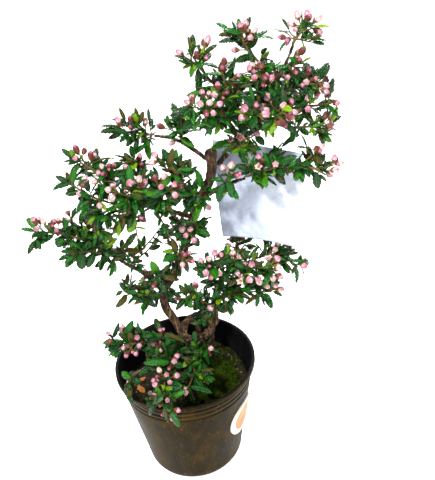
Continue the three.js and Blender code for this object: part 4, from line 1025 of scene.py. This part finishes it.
def add_sprigs(shape, wood, foot, others, sparse, chance):
    """Thin side shoots on the bare wood, and the leaves along them"""
    leaves = []
    for spot, outward, onward in spots_on(wood, SPRIG.room * sparse, foot, chance):
        aim = outward + onward * chance.uniform(0.2, 1.2) + anyway(chance) * 0.4 + Vector((0, 0, 0.15))
        aim.normalize()
        length = chance.uniform(SPRIG.short, SPRIG.long)
        end = spot + aim * length
        if not clear(spot, end, others):
            continue
        bend = anyway(chance) * 0.12 * length

        def at(share):
            return spot.lerp(end, share) + bend * sin(pi * share)

        add_tube(shape, [at(share) for share in (-0.08, 0.25, 0.5, 0.75, 1.0)], SPRIG)
        for number in range(SPRIG.leaves):
            share = 0.3 + 0.7 * number / (SPRIG.leaves - 1)
            out = aim.cross(anyway(chance)).normalized()
            way = (aim * chance.uniform(0.3, 1.0) + out * (1.2 - share)).normalized()
            leaves.append(small_leaf(at(share), way, chance.uniform(0.45, 0.8) * SMALL_LEAF.long, chance))
    return leaves


def add_tube(shape, points, radii):
    """A thin round twig through points, closed at its end"""
    rows = []
    axis = (points[-1] - points[0]).normalized()
    side = axis.orthogonal().normalized()
    other = axis.cross(side)
    for i, centre in enumerate(points):
        radius = radii.thick + (radii.thin - radii.thick) * i / (len(points) - 1)
        ways = [side * cos(turn) + other * sin(turn) for turn in spread(5)]
        rows.append([shape.point(centre + way * radius) for way in ways])
    for lower, upper in zip(rows, rows[1:]):
        shape.band(lower, upper, 0)
    shape.face(rows[-1], 0)


def add_wisps(shape, node, chance):
    """The thin shoots of one spray, and the leaves along them"""
    leaves = []
    for root, places, depth in WISPS:
        if root != node:
            continue
        points = [off_plane(x * MM, z * MM, depth * MM) for x, z in places]
        add_tube(shape, points, WISP)
        for number in range(WISP.leaves):
            share = (0.25 + 0.75 * number / (WISP.leaves - 1)) * (len(points) - 1)
            step = min(int(share), len(points) - 2)
            aim = (points[step + 1] - points[step]).normalized()
            seat = points[step].lerp(points[step + 1], share - step)
            way = (aim * chance.uniform(0.2, 0.9) + aim.cross(anyway(chance)).normalized()).normalized()
            leaves.append(small_leaf(seat, way, leaf_length(chance), chance))
    return leaves


def companion(bud, chance):
    """A smaller bud beside another one"""
    axis = bud.tip - bud.base
    stray = anyway(chance).normalized()
    aim = (axis.normalized() + stray * chance.uniform(0.7, 1.1)).normalized()
    length = axis.length * chance.uniform(0.6, 0.82)
    base = bud.base
    tip = base + aim * length
    radius = bud.radius * chance.uniform(0.55, 0.8)
    return Values(base=base, belly=base.lerp(tip, BELLY), tip=tip, radius=radius)


def tree_of(node):
    mesh = CAD[node].data
    places = [vertex.co for vertex in mesh.vertices]
    return BVHTree.FromPolygons(places, [list(face.vertices) for face in mesh.polygons])


def make_sprays():
    looks = [make_twig(), make_leaf_top(), make_leaf_under(), make_petals()]
    trunk = tree_of("trunk")
    solids = ("label", "pot", "soil", "moss", "sticker")
    others = [trunk] + [tree_of(node) for node in solids]
    for number, node in enumerate(sorted(set(CAD) - {"trunk", *solids, *BITS})):
        chance = random.Random(700 + number)
        wood, leaves, buds = read_spray(node)
        places = [vertex.co.copy() for vertex in wood.verts]
        foot = min(places, key=lambda place: trunk.find_nearest(place)[3])
        shape = Shape()
        low = node.startswith("basal")
        sparse = SPARSE.get(node, LOW_SPRAY.sparse if low else 1.0)
        extra = small_leaves(wood, foot, sparse, chance)
        extra += add_sprigs(shape, wood, foot, others, sparse, chance)
        extra += add_wisps(shape, node, chance)
        extra = [leaf for leaf in extra if clear(leaf.root, leaf.tip, others) and not hides(leaf, buds)]
        for leaf in leaves:
            leaf.width *= COVERING if hides(leaf, buds) else 1
        for leaf in extra:
            leaf.width *= LOW_SPRAY.slim if low else 1
        root_into(wood, trunk)
        shape.mesh(round_wood(wood))
        for leaf in leaves + extra:
            add_leaf(shape, leaf, leaf_tone(leaf.tip, chance), chance)
        pale = node.startswith(PALE.nodes)
        for bud in buds:
            tone = chance.random()
            if pale:
                tone = PALE.tone + (1 - PALE.tone) * tone
            add_bud(shape, bud, tone, chance.random() < OPEN_SHARE, PALE.slim if pale else BUD_SLIM)
            beside = companion(bud, chance)
            start = beside.base.lerp(beside.tip, 0.3)
            if chance.random() < BESIDE_SHARE and clear(start, beside.tip, others):
                add_bud(shape, beside, chance.random() * 0.7, False)
        made = show("spray_" + node, shape, looks)
        stand_for(made, node, "foliage")


# Label, sticker and what lies on the soil
def make_label():
    shape = Shape()
    turn = Matrix.Rotation(-LABEL.yaw, 4, "Z") @ Matrix.Rotation(LABEL.roll, 4, "Y")
    place = Matrix.Translation(off_plane(LABEL.x, LABEL.z, LABEL.y)) @ turn
    cells = LABEL.cells
    sheets = []
    for face in (-0.5, 0.5):
        sheet = []
        for j in range(cells + 1):
            row = []
            for i in range(cells + 1):
                u, v = i / cells, j / cells
                crease = LABEL.crease * noise.fractal(Vector((u * 3.1, v * 2.6, 4.2)), 0.8, 2.2, 4)
                y = LABEL.bow * sin(pi * u) + crease * sin(pi * u) + face * LABEL.sheet
                drop = LABEL.drop * (v * (1 - u)) ** 2
                spot = Vector((u * LABEL.width + 0.9 * drop, y, -v * LABEL.height - drop))
                row.append(shape.point(place @ spot, u, v, 0))
            sheet.append(row)
        sheets.append(sheet)
    front, back = sheets
    for j in range(cells):
        for i in range(cells):
            shape.face([front[j][i], front[j + 1][i], front[j + 1][i + 1], front[j][i + 1]])
            shape.face([back[j][i], back[j][i + 1], back[j + 1][i + 1], back[j + 1][i]])
    for i in range(cells):
        shape.face([front[0][i + 1], back[0][i + 1], back[0][i], front[0][i]])
        shape.face([front[-1][i], back[-1][i], back[-1][i + 1], front[-1][i + 1]])
        shape.face([front[i][0], back[i][0], back[i + 1][0], front[i + 1][0]])
        shape.face([front[i + 1][-1], back[i + 1][-1], back[i][-1], front[i][-1]])
    made = show("paper_label", shape, [make_paper()])
    grown = worked(CAD["trunk"].data, ("DISPLACE", {"strength": LABEL.room, "mid_level": 0.0}))
    cut_out(made, put_in("punch", grown))
    stand_for(made, "label", "paper")


def make_sticker_disc():
    shape = Shape()
    lean = atan((POT.rim - POT.base) / POT.height)

    def at(u, v, lift):
        z = STICKER.height + STICKER.radius * v * cos(lean)
        turn = STICKER.around + STICKER.radius * u / pot_radius(STICKER.height)
        out = pot_radius(z) + STICKER.gap + lift
        return Vector((out * cos(turn), out * sin(turn), z))

    def cover(share, turn):
        lift = STICKER.thick * (1.0 if share < 1 else 0.8)
        return at(share * cos(turn), share * sin(turn), lift), turn / 6.3, share

    edge = shape.round_sheet(STICKER.rings, STICKER.around_it, cover)
    under = [shape.point(at(cos(turn), sin(turn), -STICKER.gap), turn / 6.3, 1)
             for turn in spread(STICKER.around_it)]
    shape.band(under, edge)
    shape.face(under)
    made = show("round_sticker", shape, [make_sticker()])
    stand_for(made, "sticker", "sticker_vinyl")


def make_bits():
    """Chips and a pellet on the soil: each CAD body rounded and roughened"""
    bark = make_chip("bark_chip", (84, 46, 18), (178, 112, 48), 1.2)
    pellet = make_chip("pellet", (146, 146, 110), (188, 190, 150), 0.8)
    for node, name in BITS.items():
        slot, look = ("bark_chip", bark) if "chip" in node else ("pellet", pellet)
        finer = ("SUBSURF", {"subdivision_type": "SIMPLE", "levels": 3, "render_levels": 3})
        mesh = worked(as_mesh(welded(node)), finer, ("SMOOTH", {"factor": 0.5, "iterations": 2}))
        for vertex in mesh.vertices:
            vertex.co += vertex.normal * 0.22 * MM * noise.fractal(vertex.co / MM * 0.9, 0.8, 2.0, 4)
        shape = Shape()
        shape.mesh(mesh)
        stand_for(show(name, shape, [look]), node, slot)


# Floor, light and camera
def make_floor():
    shape = Shape()
    corners = ((-1, -1), (1, -1), (1, 1), (-1, 1))
    shape.face([shape.point(Vector((x, y, 0)) * FLOOR_SIZE) for x, y in corners])
    look = Look("floor", 0.0)
    look.colour(look.ramp(look.grain(0.01), [(0.3, 250, 250, 250), (0.7, 252, 252, 252)]))
    look.shader.inputs["Roughness"].default_value = 0.9
    look.shader.inputs["Emission Color"].default_value = (1, 1, 1, 1)
    look.shader.inputs["Emission Strength"].default_value = 0.9
    show("floor", shape, [look.material], False)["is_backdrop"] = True


def add_light(name, place, aim, size, power):
    lamp = bpy.data.lights.new(name, "AREA")
    lamp.shape = "DISK"
    lamp.size = size
    lamp.energy = power
    made = put_in(name, lamp)
    made.location = place
    made.rotation_euler = (Vector(aim) - Vector(place)).to_track_quat("-Z", "Y").to_euler()


def make_studio():
    make_floor()
    world = bpy.data.worlds.new("studio")
    world.use_nodes = True
    nodes, links = world.node_tree.nodes, world.node_tree.links
    nodes["Background"].inputs["Color"].default_value = (1.0, 0.99, 0.95, 1)
    nodes["Background"].inputs["Strength"].default_value = 0.3
    seen = nodes.new("ShaderNodeBackground")
    seen.inputs["Color"].default_value = (1, 1, 1, 1)
    seen.inputs["Strength"].default_value = 1.0
    choice = nodes.new("ShaderNodeMixShader")
    links.new(nodes.new("ShaderNodeLightPath").outputs["Is Camera Ray"], choice.inputs[0])
    links.new(nodes["Background"].outputs[0], choice.inputs[1])
    links.new(seen.outputs[0], choice.inputs[2])
    links.new(choice.outputs[0], nodes["World Output"].inputs["Surface"])
    bpy.context.scene.world = world
    for name, values in LIGHTS.items():
        add_light(name, *values)
    bpy.context.scene.view_settings.view_transform = "Standard"
    camera = bpy.data.cameras.new("camera")
    camera.lens = CAMERA.lens
    camera.sensor_width = CAMERA.sensor
    camera.clip_start = CAMERA.near
    made = put_in("camera", camera)
    turn = Matrix.Rotation(radians(CAMERA.pitch), 4, "X")
    turn @= Matrix.Rotation(radians(CAMERA.roll), 4, "Z")
    made.matrix_world = Matrix.Translation(CAMERA.place) @ turn
    bpy.context.scene.camera = made


make_pot()
make_ground()
make_moss_pad()
make_trunk()
make_sprays()
make_label()
make_sticker_disc()
make_bits()
make_studio()

spans = {"cad": cad_bounds, "visual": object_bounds()}
{name: [list(corner) for corner in span] for name, span in spans.items()}
